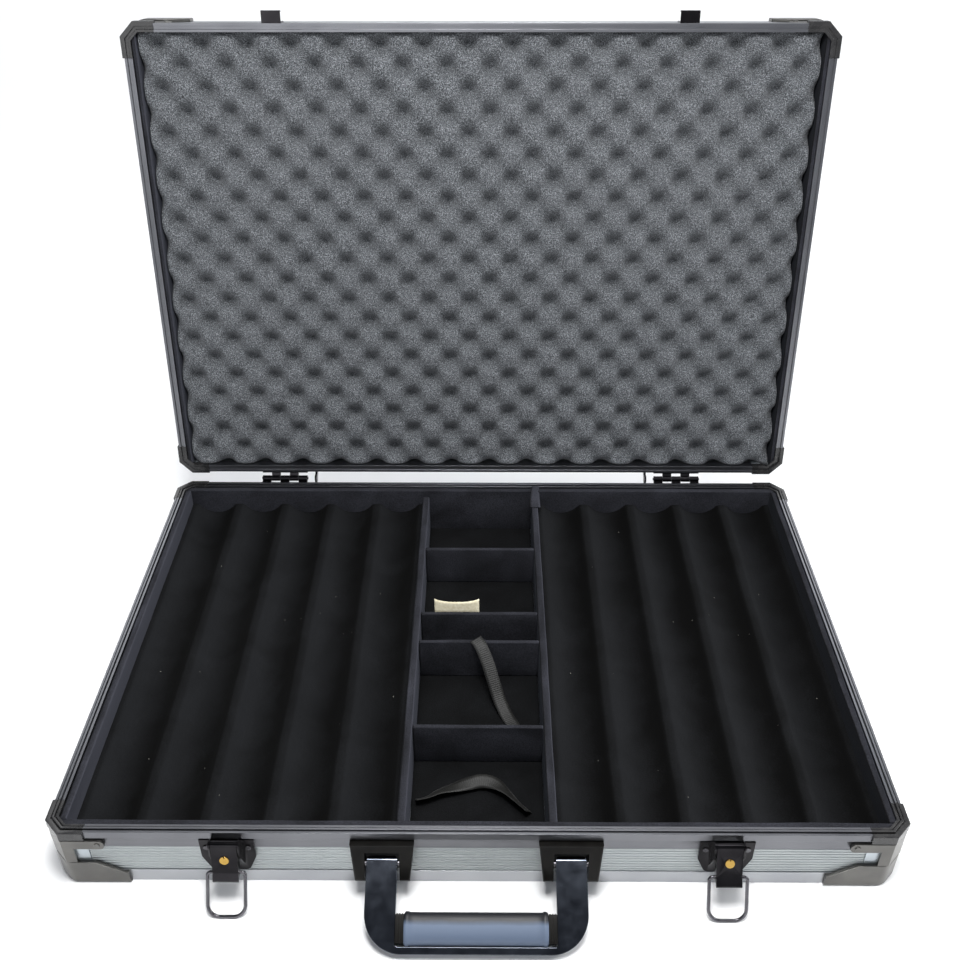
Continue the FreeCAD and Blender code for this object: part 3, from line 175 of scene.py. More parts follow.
def aluminium(name, swatch, rough_low, rough_high, line_mm):
    material, tree, _ = new_material(name)
    grain = add(tree, "ShaderNodeAttribute", attribute_name="grain").outputs["Vector"]
    stretched = add(tree, "ShaderNodeMapping", {"Vector": grain, "Scale": LINE_STRETCH}).outputs["Vector"]
    lines = add(tree, "ShaderNodeTexNoise", {"Vector": stretched, "Scale": per_mm(line_mm), "Detail": 3.0})
    cloud = add(tree, "ShaderNodeTexNoise", {"Vector": grain, "Scale": per_mm(45), "Detail": 2.0})
    tint = ramp(tree, cloud.outputs["Fac"], [(0.3, swatch[0]), (0.7, swatch[1])])
    return close_material(material, tree, {
        "Base Color": tint, "Metallic": 1.0,
        "Roughness": spread(tree, lines.outputs["Fac"], rough_low, rough_high),
        "Normal": bump(tree, lines.outputs["Fac"], LINE_RELIEF_MM)})


anodised_rail = aluminium("anodised_aluminium_rail", ("#66676b", "#727377"), 0.22, 0.4, 0.3)
# painted light: the edge rails are the rim rails' anodised aluminium, drawn lighter as if better lit
edge_rail_painted_lighter = aluminium("anodised_aluminium_edge_rail", ("#9fa1a5", "#adafb2"), 0.26, 0.42, 0.3)
ribbed_sheet = aluminium("ribbed_aluminium_sheet", ("#a8adae", "#b3b8b8"), 0.48, 0.62, 0.5)

# %% [markdown]
# The outer boards of lid and base are faced with thin pebbled aluminium sheet. The pebbles are a rolled
# pattern about two millimetres across, drawn by a cell texture that only moves the bump.

# %% Pebbled sheet
def pebbled_aluminium():
    material, tree, place = new_material("pebbled_aluminium_sheet")
    cells = add(tree, "ShaderNodeTexVoronoi", {"Vector": place, "Scale": per_mm(2.2)}, feature="SMOOTH_F1")
    cloud = add(tree, "ShaderNodeTexNoise", {"Vector": place, "Scale": per_mm(60), "Detail": 3.0})
    tint = ramp(tree, cloud.outputs["Fac"], [(0.3, "#a9b0b5"), (0.7, "#b8bfc4")])
    return close_material(material, tree, {
        "Base Color": tint, "Metallic": 1.0, "Roughness": spread(tree, cloud.outputs["Fac"], 0.34, 0.48),
        "Normal": bump(tree, cells.outputs["Distance"], 0.25, 0.8)})


pebbled_sheet = pebbled_aluminium()

# %% [markdown]
# ## Plated and painted steel
#
# The pressed corners are steel plated a dull grey, the rim corners are the same pressing enamelled black,
# and the latches are black nickel: a dark mirror that shows fine polishing marks. Wire and pins are bright
# drawn steel. All are metals with the default index of refraction; colour, roughness and the size of the
# marks tell them apart.

# %% Steel finishes
def plated_steel(name, swatch, rough, mark_mm, relief_mm):
    material, tree, place = new_material(name)
    marks = add(tree, "ShaderNodeTexNoise", {"Vector": place, "Scale": per_mm(mark_mm), "Detail": 4.0})
    cloud = add(tree, "ShaderNodeTexNoise", {"Vector": place, "Scale": per_mm(18), "Detail": 2.0})
    tint = ramp(tree, cloud.outputs["Fac"], [(0.3, swatch[0]), (0.7, swatch[1])])
    return close_material(material, tree, {
        "Base Color": tint, "Metallic": 1.0,
        "Roughness": spread(tree, marks.outputs["Fac"], rough[0], rough[1]),
        "Normal": bump(tree, marks.outputs["Fac"], relief_mm)})


plated_corner = plated_steel("dull_plated_steel", ("#5c5b59", "#6b6a67"), (0.26, 0.44), 0.8, 0.02)
black_nickel = plated_steel("black_nickel", ("#1c1b1d", "#2a292b"), (0.14, 0.28), 0.5, 0.01)
drawn_wire = plated_steel("bright_drawn_steel", ("#4c4b4e", "#626165"), (0.14, 0.26), 0.4, 0.008)
satin_brass = plated_steel("satin_brass", ("#a3823f", "#bb9a55"), (0.22, 0.36), 0.4, 0.01)


def black_enamel():
    """Stoved enamel: a black dielectric with a faint orange peel."""
    material, tree, place = new_material("black_enamel")
    peel = add(tree, "ShaderNodeTexNoise", {"Vector": place, "Scale": per_mm(1.4), "Detail": 2.0})
    scuff = add(tree, "ShaderNodeTexNoise", {"Vector": place, "Scale": per_mm(7), "Detail": 5.0})
    tint = ramp(tree, scuff.outputs["Fac"], [(0.4, "#1a1a1b"), (0.75, "#2c2b2b")])
    return close_material(material, tree, {
        "Base Color": tint, "IOR": 1.52, "Roughness": spread(tree, scuff.outputs["Fac"], 0.18, 0.36),
        "Normal": bump(tree, peel.outputs["Fac"], 0.015)})


enamelled_corner = black_enamel()

# %% [markdown]
# ## Moulded plastics
#
# The handle bow is ABS plated in a dark chrome, which is a dark metal under a thin coat. The grip is
# blue-grey vinyl; its inner side, towards the pins, is painted nearly black as shade and a dark reflection,
# and an attribute called outward says how far a point lies from that side. The brackets and collars are
# plain black ABS with the soft spark-eroded grain of a steel mould, drawn by a fine cell bump.

# %% Plastic finishes
def lacquered_abs():
    material, tree, place = new_material("dark_lacquered_abs")
    swirl = add(tree, "ShaderNodeTexNoise", {"Vector": place, "Scale": per_mm(9), "Detail": 4.0})
    tint = ramp(tree, swirl.outputs["Fac"], [(0.3, "#474b53"), (0.7, "#575c65")])
    return close_material(material, tree, {
        "Base Color": tint, "Metallic": 1.0, "Roughness": spread(tree, swirl.outputs["Fac"], 0.1, 0.2),
        "Coat Weight": 0.4, "Coat Roughness": 0.04,
        "Normal": bump(tree, swirl.outputs["Fac"], 0.03)})


def grained_plastic(name, swatch, rough, grain_mm, relief_mm, ior, shine, painted_shade=None):
    material, tree, place = new_material(name)
    grain = add(tree, "ShaderNodeTexVoronoi", {"Vector": place, "Scale": per_mm(grain_mm)},
                feature="SMOOTH_F1")
    cloud = add(tree, "ShaderNodeTexNoise", {"Vector": place, "Scale": per_mm(12), "Detail": 3.0})
    tint = ramp(tree, cloud.outputs["Fac"], [(0.3, swatch[0]), (0.7, swatch[1])])
    # painted shade: where outward is low, on the inner side, the tint runs down to the painted shade colour
    if painted_shade:
        level = add(tree, "ShaderNodeAttribute", attribute_name="outward").outputs["Fac"]
        level = arithmetic(tree, "ADD", level, arithmetic(tree, "MULTIPLY", cloud.outputs["Fac"], 0.08))
        tint = ramp(tree, level, [(0.3, painted_shade), (0.46, swatch[0]), (1.0, swatch[1])])
    return close_material(material, tree, {
        "Base Color": tint, "IOR": ior, "Specular IOR Level": shine,
        "Roughness": spread(tree, cloud.outputs["Fac"], rough[0], rough[1]),
        "Normal": bump(tree, grain.outputs["Distance"], relief_mm, 0.6)})


lacquered_bow = lacquered_abs()
moulded_abs = grained_plastic(
    "moulded_black_abs", ("#0a0908", "#141311"), (0.3, 0.45), grain_mm=0.5, relief_mm=0.02, ior=1.5,
    shine=0.12)
# the grip's inner side is painted near black, as shade and a dark reflection
grip_vinyl = grained_plastic(
    "pearl_blue_grey_vinyl", ("#5b687c", "#4d586a"), (0.38, 0.5), grain_mm=0.6, relief_mm=0.004, ior=1.52,
    shine=0.3, painted_shade="#15161a")

# %% [markdown]
# ## Velvet, flock, foam, card and ribbon
#
# Velvet and flock are upright fibres: they look black straight on and turn grey-blue at a glancing angle,
# which the shader's sheen gives. The nap lies unevenly, so a broad noise varies the tone, and a fine one
# gives the fibres. A slope facing right is also painted lighter and one facing left darker: painted light
# from the right. Foam is a mass of open cells about a millimetre wide: a noise speckles its colour, a cell
# texture makes its bump, and an attribute called hollow darkens it where it is deep, as painted shade.

# %% Soft finishes
PAINTED_LIGHT_FROM_RIGHT = 0.4       # painted light from the right: a slope facing right is drawn lighter


def velvet(name, swatch, tint, sheen):
    material, tree, place = new_material(name)
    nap = add(tree, "ShaderNodeTexNoise", {
        "Vector": place, "Scale": per_mm(38), "Detail": 4.0, "Distortion": 0.6})
    fibre = add(tree, "ShaderNodeTexNoise", {"Vector": place, "Scale": per_mm(0.9), "Detail": 2.0})
    mixed = arithmetic(tree, "MULTIPLY", nap.outputs["Fac"], fibre.outputs["Fac"])
    facing = add(tree, "ShaderNodeNewGeometry").outputs["Normal"]
    rightward = add(tree, "ShaderNodeSeparateXYZ", {0: facing}).outputs["X"]
    # painted light from the right: the tone rises where a face turns to +X and falls where it turns away
    painted_right_light = arithmetic(tree, "ADD", mixed, arithmetic(tree, "MULTIPLY", rightward, PAINTED_LIGHT_FROM_RIGHT))
    tone = ramp(tree, painted_right_light, [(0.02, swatch[0]), (0.56, swatch[1])])
    return close_material(material, tree, {
        "Base Color": tone, "Roughness": 0.95, "IOR": 1.45, "Specular IOR Level": 0.15,
        "Sheen Weight": sheen, "Sheen Roughness": 0.45, "Sheen Tint": linear(tint),
        "Normal": bump(tree, fibre.outputs["Fac"], 0.25, 0.7)})


flocked_tray = velvet("black_flock", ("#020202", "#18191b"), "#b0b0ac", 0.004)
velvet_board = velvet("black_velvet", ("#0c0c0d", "#3a3b42"), "#8f97a8", 0.06)


def egg_crate_foam():
    material, tree, place = new_material("charcoal_polyurethane_foam")
    cells = add(tree, "ShaderNodeTexVoronoi", {"Vector": place, "Scale": per_mm(1.1)})
    grit = add(tree, "ShaderNodeTexNoise", {"Vector": place, "Scale": per_mm(0.8), "Detail": 3.0})
    cloud = add(tree, "ShaderNodeTexNoise", {"Vector": place, "Scale": per_mm(90), "Detail": 2.0})
    depth = add(tree, "ShaderNodeAttribute", attribute_name="hollow").outputs["Fac"]
    speck = ramp(tree, grit.outputs["Fac"], [(0.34, "#28292c"), (0.5, "#515457"), (0.68, "#919498")])
    faded = add(tree, "ShaderNodeMix", {0: spread(tree, cloud.outputs["Fac"], 0.0, 0.35), 6: speck,
                                        7: linear("#5a5b5e")}, data_type="RGBA")
    # painted shade: the colour runs to near black where the hollow is deep
    painted_shade = add(tree, "ShaderNodeMix", {0: spread(tree, depth, 0.0, 0.72), 6: faded.outputs[2],
                                         7: linear("#121214")}, data_type="RGBA")
    return close_material(material, tree, {
        "Base Color": painted_shade.outputs[2], "Roughness": 1.0, "Specular IOR Level": 0.1, "Sheen Weight": 0.08,
        "Normal": bump(tree, cells.outputs["Distance"], 0.7, 0.8)})


foam_finish = egg_crate_foam()


def cream_card():
    material, tree, place = new_material("cream_card")
    fibre = add(tree, "ShaderNodeTexNoise", {"Vector": place, "Scale": per_mm(2.5), "Detail": 5.0})
    tint = ramp(tree, fibre.outputs["Fac"], [(0.3, "#d9cfae"), (0.7, "#efe8cf")])
    return close_material(material, tree, {
        "Base Color": tint, "Roughness": 0.7, "IOR": 1.5, "Normal": bump(tree, fibre.outputs["Fac"], 0.05)})


card_finish = cream_card()


def woven_ribbon():
    """Grosgrain: cross ribs every 0.8 mm along the ribbon's own UV map, a little coarse so they show."""
    material, tree, _ = new_material("black_grosgrain_ribbon")
    wave_turn = 6.3         # the wave texture's turn for each unit of scale
    along = add(tree, "ShaderNodeUVMap", uv_map="weave").outputs["UV"]
    rows = add(tree, "ShaderNodeTexWave", {
        "Vector": along, "Scale": per_mm(0.8) / wave_turn, "Distortion": 0.3}, bands_direction="Y")
    worn = add(tree, "ShaderNodeTexNoise", {"Vector": along, "Scale": per_mm(6), "Detail": 3.0})
    tint = ramp(tree, worn.outputs["Fac"], [(0.3, "#0d0d0c"), (0.7, "#1c1c1a")])
    return close_material(material, tree, {
        "Base Color": tint, "Roughness": 0.6, "Sheen Weight": 0.03, "Sheen Roughness": 0.3,
        "Normal": bump(tree, rows.outputs["Fac"], 0.12)})


ribbon_finish = woven_ribbon()

# %% [markdown]
# ## Which finish goes where
#
# The record names a material slot for every solid of the frame, so one table turns slots into finishes.

# %% Table of finishes
FINISH = {
    "silver_rail": anodised_rail, "ribbed_panel": ribbed_sheet, "black_corner": enamelled_corner,
    "grey_corner": plated_corner, "wood_board": pebbled_sheet, "lining": velvet_board, "tray": flocked_tray,
    "foam": foam_finish, "gunmetal": black_nickel, "steel": drawn_wire, "black_plastic": moulded_abs,
    "grip": grip_vinyl, "brass": satin_brass, "paper": card_finish, "ribbon": ribbon_finish,
    "dark_bow": lacquered_bow,
}

# %% [markdown]
# ## Taking a hard piece from the frame
#
# A solid of the frame arrives as loose triangles with knife edges. Real edges are broken by tumbling,
# plating or wear, and the thin bright line that they give is what makes metal look like metal. So each
# hard piece is a copy: its doubles are merged, its flat faces are made whole, a small bevel breaks its
# edges, and its round faces are shaded smooth. The copy also gets the grain attribute: for each separate
# solid in it, X runs along its longest side. The original stays in the frame, hidden, for the physics.

# %% Hard pieces from the frame
LID_TURN = math.radians(joints["lid_hinge"]["range_deg"][1])
HINGE = Vector(joints["lid_hinge"]["pos_m"])
LID_SHUT = Matrix.Translation(HINGE) @ Matrix.Rotation(LID_TURN, 4, "X") @ Matrix.Translation(-HINGE)
MERGE = 0.002 * MM                  # corners closer than this are one corner
FLAT = math.radians(0.2)            # faces that turn less than this are one face
HARD_SHARP_DEG = 32                 # an edge that turns more than this stays sharp
HARD_BEVEL_DEG = 34                 # an edge that turns more than this is broken


def link(name, data):
    """A new object in the scene with this mesh, lamp or camera."""
    made = bpy.data.objects.new(name, data)
    scene.collection.objects.link(made)
    return made


def baked(piece):
    """The piece's mesh with its modifiers applied, and the modifiers removed."""
    graph = bpy.context.evaluated_depsgraph_get()
    mesh = bpy.data.meshes.new_from_object(
        piece.evaluated_get(graph), preserve_all_data_layers=True, depsgraph=graph)
    piece.modifiers.clear()
    piece.data = mesh
    return piece


def frame_solid(node):
    """The frame's solid with its doubles merged and its flat faces made whole."""
    bm = bmesh.new()
    bm.from_mesh(frame["nodes"][node].data)
    bmesh.ops.remove_doubles(bm, verts=bm.verts, dist=MERGE)
    bmesh.ops.dissolve_limit(bm, angle_limit=FLAT, verts=bm.verts, edges=bm.edges)
    return bm


def skin(bm, rings):
    """Faces between closed rings of vertices, and across the first and last ring."""
    for near, far in zip(rings, rings[1:]):
        for i in range(len(near)):
            j = (i + 1) % len(near)
            bm.faces.new((near[i], near[j], far[j], far[i]))
    bm.faces.new(rings[0][::-1])
    bm.faces.new(rings[-1])
    bmesh.ops.recalc_face_normals(bm, faces=bm.faces)


def as_mesh(bm, name, sharp_deg=None):
    """The finished bmesh as a smooth shaded mesh; edges that turn more than sharp_deg stay sharp."""
    mesh = bpy.data.meshes.new(name)
    bm.to_mesh(mesh)
    bm.free()
    mesh.shade_smooth()
    if sharp_deg:
        mesh.set_sharp_from_angle(angle=math.radians(sharp_deg))
    return mesh


def thickened(piece, thickness):
    """Gives a surface a thickness, half of it to either side."""
    made = piece.modifiers.new("thickness", "SOLIDIFY")
    made.thickness = thickness
    made.offset = 0
    return piece


def islands(bm):
    """The separate solids of a mesh, as lists of vertices."""
    left = set(bm.verts)
    while left:
        start = left.pop()
        found, queue = [start], [start]
        while queue:
            for edge in queue.pop().link_edges:
                for vertex in edge.verts:
                    if vertex in left:
                        left.remove(vertex)
                        found.append(vertex)
                        queue.append(vertex)
        yield found


def mark_grain(bm, turned):
    """Writes the grain attribute: each solid's own coordinates, longest side first."""
    layer = bm.verts.layers.float_vector.new("grain")
    for solid in islands(bm):
        spots = [turned @ vertex.co for vertex in solid]
        sides = [max(s[k] for s in spots) - min(s[k] for s in spots) for k in range(3)]
        order = sorted(range(3), key=lambda k: -sides[k])
        for vertex, spot in zip(solid, spots):
            vertex[layer] = [spot[k] for k in order]


def place_piece(piece, body, slot, finish, *stands_for):
    """Gives a piece its finish and its body, and hides the frame's solids that it stands for."""
    piece.data.materials.clear()
    piece.data.materials.append(finish)
    if stands_for:
        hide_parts(*stands_for)
    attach(piece, body)
    return piece


def hard_piece(node, bevel_mm=0.25, finish=None, segments=2):
    bm = frame_solid(node)
    mark_grain(bm, LID_SHUT if body_of_node[node] == "lid" else Matrix())
    piece = link(node + "_made", as_mesh(bm, node, HARD_SHARP_DEG))
    if bevel_mm:
        edge = piece.modifiers.new("broken edge", "BEVEL")
        edge.width = bevel_mm * MM
        edge.segments = segments
        edge.limit_method = "ANGLE"
        edge.angle_limit = math.radians(HARD_BEVEL_DEG)
        edge.harden_normals = True
        baked(piece)
    slot = slot_of_node[node]
    return place_piece(piece, body_of_node[node], slot, finish or FINISH[slot], node)


BREAK_MM = {                        # how far each piece's edges are broken
    "base_rim_rails": 0.15, "lid_rim_rails": 0.15, "base_edge_rails": 0.2, "lid_edge_rails": 0.2,
    "base_front_panel": 0.12, "base_back_panel": 0.12, "base_left_panel": 0.12, "base_right_panel": 0.12,
    "lid_panels": 0.12, "base_rim_corners": 0.25, "lid_rim_corners": 0.25, "base_corner_brackets": 0.25,
    "lid_corner_brackets": 0.25, "base_corner_caps": 0.35, "lid_corner_caps": 0.35,
    "base_corner_posts": 0.2, "lid_corner_posts": 0.2, "bottom_board": 0.5, "lid_board": 0.5,
    "base_hinge_leaves": 0.15, "lid_hinge_leaves": 0.15, "hinge_pins": 0.15,
    "base_hinge_rivets": 0.3, "lid_hinge_rivets": 0.3, "lid_stop_plates": 0.2, "latch_plates": 0.25,
    "latch_rivets": 0.35, "lever_pins": 0.1,
    "left_latch_lever": 0.35, "right_latch_lever": 0.35, "left_lock_barrel": 0.15,
    "right_lock_barrel": 0.15, "left_bail": 0.0, "right_bail": 0.0, "lid_catches": 0.2,
    "handle_pins": 0.2, "handle_brackets": 0.6,
}
# the edge rails take the rail finish painted lighter
for node, bevel in BREAK_MM.items():
    hard_piece(node, bevel, edge_rail_painted_lighter if node.endswith("edge_rails") else None)
print(f"{len(BREAK_MM)} hard pieces taken from the frame")
hard_piece("handle_frame", 1.6, segments=4)

# %% [markdown]
# ## Velvet covered boards
#
# Linings and dividers are thin board wrapped in velvet, so their edges are round and never quite straight.
# Each is the frame's solid with a millimetre of rounding, cut into short lengths and moved by a slow noise
# of a few tenths of a millimetre.

# %% Velvet covered boards
SWAY_LENGTH = 35 * MM
ON_FACE = 0.0001       # a point this near the solid's box is on its face, so it may only move inwards


def wrapped_board(node, round_mm=1.1, sway_mm=0.35, step_mm=9, finish=velvet_board):
    low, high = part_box(node)
    bm = frame_solid(node)
    size = high - low
    for k in range(3):
        count = int(size[k] / (step_mm * MM))
        direction = Vector([1 if i == k else 0 for i in range(3)])
        for i in range(1, count):
            spot = low + direction * size[k] * i / count
            bmesh.ops.bisect_plane(bm, geom=bm.verts[:] + bm.edges[:] + bm.faces[:], plane_co=spot,
                                   plane_no=direction, dist=1e-6)
    piece = link(node + "_made", as_mesh(bm, node))
    edge = piece.modifiers.new("wrapped edge", "BEVEL")
    edge.width = min(round_mm * MM, min(size) * 0.45)
    edge.segments = 3
    edge.limit_method = "ANGLE"
    baked(piece)
    for vertex in piece.data.vertices:
        sway = noise.noise_vector(vertex.co / SWAY_LENGTH) * sway_mm * MM
        for k in range(3):
            if not low[k] + ON_FACE < vertex.co[k] < high[k] - ON_FACE:
                sway[k] = abs(sway[k]) * (-1 if vertex.co[k] > low[k] + size[k] / 2 else 1)
        vertex.co += sway
    piece.data.shade_smooth()
    return place_piece(piece, body_of_node[node], slot_of_node[node], finish, node)


for node in ("front_lining", "back_lining", "left_lining", "right_lining", "left_divider", "right_divider",
             "cross_divider_1", "cross_divider_2", "cross_divider_3", "cross_divider_4"):
    wrapped_board(node)
# the card floor takes the darker flock rather than the walls' velvet: painted shade at the foot of the bays
wrapped_board("card_floor", round_mm=0.3, sway_mm=0.1, finish=flocked_tray)
hard_piece("lid_linings", 0.8)

# %% [markdown]
# ## Flocked chip trays
#
# A tray is one vacuum formed sheet, flocked black: five round grooves with flat ridges between them. Its
# section follows a rule, so it is drawn by it: arcs of the chip radius sunk below the ridge line, joined
# by ridges whose shoulders are rounded as a formed sheet's are. The section is then carried from front to
# back in short steps, and a slow noise lets the thin sheet wander as it does.

# %% Flocked chip trays
CHIP_RADIUS = 20.5 * MM
GROOVE_PITCH = 42.6 * MM
GROOVE_SINK = 9.5 * MM
SHOULDER = 1.6 * MM
SHOULDER_IN, SHOULDER_DOWN = 0.35, 0.2      # where a shoulder bends, in parts of its width
ARC_STEPS = 20
ARC_KEPT = 0.93                             # the part of a groove's arc that is drawn, the rest is shoulder
TRAY_ROWS = 74
DRIFT_LENGTH = 55 * MM


def tray_section(low, high):
    """(x, z) points over the grooves, from the left wall to the right one."""
    centre = (low.x + high.x) / 2
    count = int((high.x - low.x) / GROOVE_PITCH)
    axis = high.z - GROOVE_SINK + CHIP_RADIUS
    reach = math.acos((CHIP_RADIUS - GROOVE_SINK) / CHIP_RADIUS)
    points = [(low.x, high.z)]
    for number in range(count):
        x = centre + (number - (count - 1) / 2) * GROOVE_PITCH
        half = CHIP_RADIUS * math.sin(reach)
        bend, bend_z = SHOULDER * SHOULDER_IN, high.z - SHOULDER * SHOULDER_DOWN
        points += [(x - half - SHOULDER, high.z), (x - half - bend, bend_z)]
        for step in range(ARC_STEPS + 1):
            angle = -reach * ARC_KEPT + 2 * ARC_KEPT * reach * step / ARC_STEPS
            points.append((x + CHIP_RADIUS * math.sin(angle), axis - CHIP_RADIUS * math.cos(angle)))
        points += [(x + half + bend, bend_z), (x + half + SHOULDER, high.z)]
    return points + [(high.x, high.z)]


def chip_tray(node):
    low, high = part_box(node)
    section = [(low.x, low.z)] + tray_section(low, high) + [(high.x, low.z)]
    bm = bmesh.new()
    grid = []
    for row in range(TRAY_ROWS + 1):
        y = low.y + (high.y - low.y) * row / TRAY_ROWS
        line = []
        for x, z in section:
            drift = noise.noise(Vector((x, y, z)) / DRIFT_LENGTH) * 0.5 * MM
            line.append(bm.verts.new((x, y, z if z == low.z else min(high.z, z + drift - 0.25 * MM))))
        grid.append(line)
    skin(bm, grid)
    return place_piece(link(node + "_made", as_mesh(bm, node, 50)), "base", "tray", flocked_tray, node)


trays = [chip_tray("left_chip_tray"), chip_tray("right_chip_tray")]
print(f"trays: {len(trays[0].data.polygons)} faces each")

# %% [markdown]
# ## Egg-crate foam
#
# Egg-crate foam is cut from a block squeezed between bossed rollers, which leaves rows of peaks and
# hollows on a chequered grid. The product of two cosines is that surface, so Geometry Nodes can make it
# from a fine block: points on the face sink by the rule, and the hollow's depth is kept as an attribute
# for the shader. The tree is given its sizes by name and ends, as all do here, in Realize Instances and
# Set Material.

# %% A geometry tree and its inputs
def new_tree(name, inputs):
    """An empty geometry tree with named inputs (name, socket type, default)."""
    tree = bpy.data.node_groups.new(name, "GeometryNodeTree")
    tree.interface.new_socket("Geometry", in_out="INPUT", socket_type="NodeSocketGeometry")
    for label, kind, default in inputs:
        socket = tree.interface.new_socket(label, in_out="INPUT", socket_type=kind)
        socket.default_value = default
    tree.interface.new_socket("Geometry", in_out="OUTPUT", socket_type="NodeSocketGeometry")
    return tree, add(tree, "NodeGroupInput").outputs


def close_tree(tree, geometry, finish):
    """Ends the tree in Realize Instances and Set Material."""
    real = add(tree, "GeometryNodeRealizeInstances", {"Geometry": geometry}).outputs["Geometry"]
    painted = add(tree, "GeometryNodeSetMaterial", {"Geometry": real, "Material": finish})
    add(tree, "NodeGroupOutput", {"Geometry": painted.outputs["Geometry"]})
    return tree


def grown(name, tree, settings, base_mesh=None):
    """A plain mesh object made by running the tree with these named inputs."""
    piece = link(name, base_mesh or bpy.data.meshes.new(name))
    modifier = piece.modifiers.new(tree.name, "NODES")
    modifier.node_group = tree
    keys = {item.name: item.identifier for item in tree.interface.items_tree if item.in_out == "INPUT"}
    for label, setting in settings.items():
        modifier[keys[label]] = setting
    return baked(piece)


# %% Egg-crate foam
HOLLOW_POWER = 2.3      # above 1, the peaks are broad and the hollows narrow


def foam_tree():
    lengths = {"Width": 0.5, "Depth": 0.3, "Thickness": 0.03, "Pitch": 0.035, "Relief": 0.012,
               "Shift X": 0.0, "Shift Y": 0.0}
    tree, given = new_tree("egg crate", [
        (name, "NodeSocketFloat", usual) for name, usual in lengths.items()])
    size = add(tree, "ShaderNodeCombineXYZ", {
        "X": given["Width"], "Y": given["Depth"], "Z": given["Thickness"]})
    block = add(tree, "GeometryNodeMeshCube", {
        "Size": size.outputs[0], "Vertices X": 230, "Vertices Y": 157, "Vertices Z": 4})
    position = add(tree, "GeometryNodeInputPosition").outputs[0]
    spot = add(tree, "ShaderNodeSeparateXYZ", {0: position}).outputs
    turn = arithmetic(tree, "DIVIDE", 2 * math.pi, given["Pitch"])
    waves = []
    for axis in ("X", "Y"):
        moved = arithmetic(tree, "SUBTRACT", spot[axis], given[f"Shift {axis}"])
        waves.append(arithmetic(tree, "COSINE", arithmetic(tree, "MULTIPLY", moved, turn)))
    wave = arithmetic(tree, "MULTIPLY", waves[0], waves[1])
    pit = arithmetic(tree, "MULTIPLY", arithmetic(tree, "SUBTRACT", 1.0, wave), 0.5)
    hollow = arithmetic(tree, "POWER", pit, HOLLOW_POWER)
    grit = add(tree, "ShaderNodeTexNoise", {"Scale": per_mm(2.6), "Detail": 2.0}).outputs["Fac"]
    rough = arithmetic(tree, "MULTIPLY", arithmetic(tree, "SUBTRACT", grit, 0.5), 0.0009)
    sink = arithmetic(tree, "ADD", arithmetic(tree, "MULTIPLY", hollow, given["Relief"]),
                      arithmetic(tree, "ABSOLUTE", rough))
    face_height = arithmetic(tree, "MULTIPLY", given["Thickness"], 0.45)
    top = arithmetic(tree, "GREATER_THAN", spot["Z"], face_height)
    offset = add(tree, "ShaderNodeCombineXYZ", {"Z": arithmetic(tree, "MULTIPLY", sink, -1.0)})
    sunk = add(tree, "GeometryNodeSetPosition", {
        "Geometry": block.outputs["Mesh"], "Selection": top, "Offset": offset.outputs[0]})
    # the hollow's depth is kept for the shader, which paints shade in the hollows
    kept = add(tree, "GeometryNodeStoreNamedAttribute", {
        "Geometry": sunk.outputs["Geometry"], "Selection": top, "Name": "hollow", "Value": hollow},
        data_type="FLOAT", domain="POINT")
    smooth = add(tree, "GeometryNodeSetShadeSmooth", {"Geometry": kept.outputs["Geometry"]})
    return close_tree(tree, smooth.outputs["Geometry"], foam_finish)


def shut_box(node):
    """A lid node's box with the lid shut, where its sides lie along the axes."""
    spots = [LID_SHUT @ vertex.co for vertex in frame["nodes"][node].data.vertices]
    return [Vector([pick(s[k] for s in spots) for k in range(3)]) for pick in (min, max)]


def foam_sheet():
    """The foam is grown flat, turned face down as in the shut lid, then opened with it."""
    low, high = shut_box("lid_foam")
    size, middle = high - low, (low + high) / 2
    piece = grown("foam_sheet", foam_tree(), {
        "Width": size.x, "Depth": size.y, "Thickness": size.z, "Pitch": 35 * MM, "Relief": 14 * MM,
        "Shift X": 8.0 * MM, "Shift Y": 2.7 * MM})
    face_down = Matrix.Translation(middle) @ Matrix.Rotation(math.pi, 4, "X")
    piece.data.transform(LID_SHUT.inverted() @ face_down)
    place_piece(piece, "lid", "foam", foam_finish, "lid_foam")
    return piece


foam = foam_sheet()
print(f"foam: {len(foam.data.polygons)} faces")

# %% [markdown]
# ## Handle grip and collars
#
# The grip is a long oval moulding with a raised band at each end; the collars beside it are black bushings
# with rings. The grip is an oval drawn from end to end of the frame's solid, because a bevelled bar stays
# flat in the middle and would mirror one tone. The rings are the same shape placed along the axis again
# and again, which is work for Geometry Nodes.

# %% Handle grip and collars
GRIP_SIDES = 56
GRIP_SQUARENESS = 3.2       # 2 is an ellipse, more is squarer
GRIP_BANDS = [              # depth from the end in mm, and how full the section is there
    (0.0, 0.88), (0.5, 0.96), (1.2, 1.0), (3.0, 1.0), (3.6, 0.955), (8.0, 0.95)]


